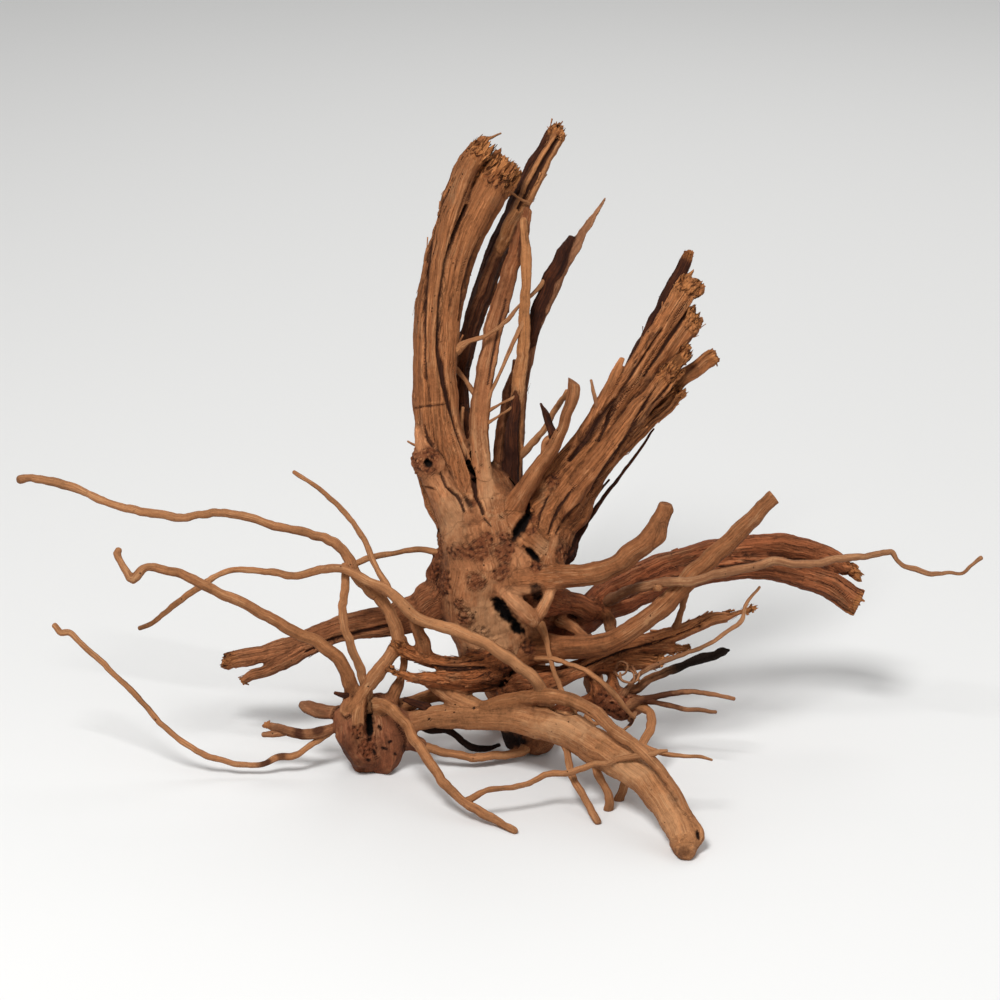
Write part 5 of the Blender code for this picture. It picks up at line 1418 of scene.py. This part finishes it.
def scaled(vector, amount):
    return make("ShaderNodeVectorMath", {"operation": "SCALE"}, {0: vector, "Scale": amount})


def parts(vector):
    return [make("ShaderNodeSeparateXYZ", None, {0: vector}, output=i) for i in range(3)]


def attribute(name, output=1):
    return make("ShaderNodeAttribute", {"attribute_name": name}, None, output)


def noise(vector, scale, detail, roughness=0.5, output=0):
    inputs = {"Vector": vector, "Scale": scale, "Detail": detail, "Roughness": roughness}
    return make("ShaderNodeTexNoise", None, inputs, output)


def cells(vector, scale):
    return make("ShaderNodeTexVoronoi", {"feature": "F1"}, {"Vector": vector, "Scale": scale})


def alongGrain(across, along, detail):
    # three noises drawn out along the fibres, blended where two limbs meet; bumps to a mm each way
    drawn = []
    for grain in grains:
        stretched = make("ShaderNodeVectorMath", {"operation": "MULTIPLY"}, {0: grain, 1: (across, across, along)})
        drawn.append(noise(stretched, 1.0, detail, 0.6, output=1))
    return parts(make("ShaderNodeMix", {"data_type": "VECTOR"}, {0: blend, 4: drawn[0], 5: drawn[1]}, output=1))


woodColours = {
    "darkBarkAndShade": (0.030, 0.009, 0.005),
    "redBrown": (0.120, 0.034, 0.012),
    "paleFibre": (0.620, 0.350, 0.170),
    "tornBright": (0.640, 0.245, 0.074),
    "tornDark": (0.200, 0.048, 0.013),
    "paleWoodAndHighlight": (0.660, 0.370, 0.185),
    "stain": (0.045, 0.011, 0.005),
    "shade": (0.40, 0.28, 0.22),
    "blackened": (0.008, 0.005, 0.004),
    "burr": (0.150, 0.040, 0.014),
}

blend = attribute("blend", 2)
grains = [attribute("grain"), attribute("grainNext")]
tone = attribute("tone", 0)
split, stain, undersideShade = parts(attribute("splitStainAndUnderShade"))
bark, tornShare, blackened = parts(attribute("barkTornAndBlack"))
crack, cavity, burr = parts(attribute("shape"))
fibre, fibreTwo, fibreThree = alongGrain(1.9, 0.045, 4)
streak, patch, seam = alongGrain(0.42, 0.020, 4)
blot, spot, seamTwo = alongGrain(0.85, 0.016, 2)
place = make("ShaderNodeTexCoord", output=3)
cloud, broad = noise(place, 75.0, 4.0, 0.65), noise(place, 26.0, 3.0)
speck = noise(place, 900.0, 3.0, 0.6)
buds, holes = cells(place, 480.0), cells(place, 230.0)
hairline = (1 - (seam - 0.5).size().between(0.0, 0.016)) * (split * 1.1)
hairline = hairline.maths("MAXIMUM", (1 - (seamTwo - 0.5).size().between(0.0, 0.020)) * split.between(0.2, 0.9))
pinhole = (1 - holes.between(0.05, 0.13)) * cloud.between(0.50, 0.58)
grainLine = (1 - (blot - 0.5).size().between(0.0, 0.030)) * 0.5 + (1 - (spot - 0.52).size().between(0.0, 0.022)) * 0.4

# the wood's own colour: streaks, mottling, worn pale fibres and redder patches
light = 1.01 + (streak - 0.5) * (split * 0.3 + 1.15) + (fibre - 0.5) * (split * 0.5 + 0.60) + (blot - 0.5) * 0.6
light = light + (cloud - 0.5) * (1.5 - split) + (broad - 0.5) * 0.8 + (speck - 0.5) * 0.8 - grainLine * 0.22
colour = scaled(tone, light.maths("MAXIMUM", 0.2))
colour = mixColour((patch * 0.6 + cloud * 0.7 + broad * 0.4).between(0.84, 1.02) * 0.50, colour, "redBrown")
pale = (fibreTwo * 0.7 + cloud * 0.5 + broad * 0.3).between(0.76, 0.92) * (0.46 - bark * 0.8 - split * 0.16)
colour = mixColour(pale.maths("MAXIMUM", 0.0), colour, "paleFibre")
flecks = (spot * 0.6 + speck * 0.5 + cloud * 0.4).between(0.80, 0.92) * (0.55 - split * 0.35)
colour = mixColour(flecks, colour, "redBrown")
colour = mixColour(fibreThree.between(0.56, 0.72) * 0.5, colour, "redBrown", "MULTIPLY")
colour = mixColour(burr * (0.30 + buds.between(0.18, 0.50) * 0.5), colour, "burr")

# what time did to it: bark left on, stains, torn fibres, cracks and soot; and painted light: painted shade on the
# undersides and in the creases, hollows blackened partly by rot and partly as painted shade, and paler patches and
# rubbed ridges that are partly real and partly painted highlight
barkMask = (patch * 0.6 + fibreTwo * 0.3 + cloud * 0.6 + spot * 0.25 + bark * 0.9).between(1.14, 1.26)
barkColour = mixColour((fibre * 0.6 + cloud * 0.4).between(0.42, 0.66), "darkBarkAndShade", "redBrown")
colour = mixColour(barkMask * 0.88, colour, barkColour)
# painted shade on the undersides
colour = mixColour(undersideShade * 0.55, colour, "shade", "MULTIPLY")
# paler patches: partly pale wood, partly painted highlight
colour = mixColour((stain * (cloud * 1.4 + fibre * 0.6) * -1).between(0.0, 0.42) * 0.42, colour, "paleWoodAndHighlight")
soaked = (stain * (cloud * 1.2 + fibre * 0.5)).between(0.05, 0.78) * 0.86
colour = mixColour(soaked, colour, "stain")
tornColour = mixColour((fibre * 0.5 + cloud * 0.5).between(0.38, 0.60), "tornDark", "tornBright")
colour = mixColour(tornShare * 0.85, colour, tornColour)
# painted shade: creases and grooves darkened towards the dark bark colour
colour = mixColour(cavity.between(0.0, -0.7) * 0.75, colour, "darkBarkAndShade")
# ridges lightened: partly rubbed wood, partly painted highlight
rubbedAndHighlit = cavity.between(0.1, 0.9) * 0.40 * (1 - bark * 1.6 - burr * 0.75).maths("MAXIMUM", 0.0) * (1 - soaked)
colour = mixColour(rubbedAndHighlit, colour, mixColour(0.3, scaled(colour, 1.6), "paleFibre"))
dark = (crack * 0.85 + hairline * 0.7 + pinhole * 0.9).between(0.2, 1.0) * 0.9
# blackened: charred and black wood, and the hollows, whose black is partly painted shade
colour = mixColour(blackened, mixColour(dark, colour, "darkBarkAndShade"), "blackened")

height = fibre * (0.3 + split * 0.6) + streak * (0.35 + split * 0.4) + blot * 0.25 + cloud * (0.9 - split * 0.5)
height = height + speck * 0.22 - grainLine * 0.12 - hairline * 0.55 - pinhole * 0.9 + blackened * speck * 1.5
height = height + tornShare * (fibreTwo + speck) * 1.1 - barkMask * 0.30 - burr * buds * 1.3 + cloud * bark * 0.9
bump = make("ShaderNodeBump", None, {"Strength": 1.0, "Distance": 0.0011, "Height": height})
surface = make("ShaderNodeBsdfPrincipled", None, {
    "Base Color": colour, "Roughness": 0.66 + fibre * 0.2 + blackened * 0.12, "Normal": bump, "Specular IOR Level": 0.14,
})
make("ShaderNodeOutputMaterial", None, {0: surface})

studio = {
    "floor": (0.80, 0.80, 0.79),
    "sky": 0.34,
    "lamps": [  # name, place in m, size in m, watts
        ("key", (-0.5, -1.2, 1.9), 0.6, 41),
        ("fill", (1.5, -0.9, 0.9), 1.2, 5),
        ("back", (0.3, 1.4, 1.5), 1.0, 9),
    ],
}


def setStudio():
    slab = bmesh.new()
    bmesh.ops.create_grid(slab, x_segments=1, y_segments=1, size=4)
    mesh = bpy.data.meshes.new("floor")
    slab.to_mesh(mesh)
    slab.free()
    floor = newObject("floor", mesh)
    paint = bpy.data.materials.new("floor_paint")
    paint.use_nodes = True
    shader = paint.node_tree.nodes["Principled BSDF"]
    shader.inputs["Base Color"].default_value = (*studio["floor"], 1)
    shader.inputs["Roughness"].default_value = 0.9
    mesh.materials.append(paint)
    scene = bpy.context.scene
    scene.view_settings.view_transform = "Standard"
    world = bpy.data.worlds.new("studio")
    world.use_nodes = True
    world.node_tree.nodes["Background"].inputs[0].default_value = (1, 1, 1, 1)
    world.node_tree.nodes["Background"].inputs[1].default_value = studio["sky"]
    scene.world = world
    target = Vector(photoView["middle"]) * 0.001
    for name, spot, size, watts in studio["lamps"]:
        lamp = bpy.data.lights.new(name, "AREA")
        lamp.size = size
        lamp.energy = watts
        holder = newObject(name, lamp)
        holder.location = spot
        holder.rotation_euler = (target - Vector(spot)).to_track_quat("-Z", "Y").to_euler()
    lens = bpy.data.cameras.new("camera")
    lens.lens = photoView["lens"]
    lens.sensor_width = photoView["sensor"]
    eye = newObject("camera", lens)
    eye.location = target + Vector(toEye) * eyeReach * 0.001
    eye.rotation_euler = (math.pi / 2 - photoView["tilt"], 0, 0)
    scene.camera = eye


grown = growBody()
easeJoins(grown)
bestReading = weather(grown, fusedLimbs, withDents=True)
splitBody(grown, bestReading, wood)
growFine(wood)
growSplinters(wood)
setStudio()

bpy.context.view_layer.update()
print("done:", round(time.time() - startTime), "s")
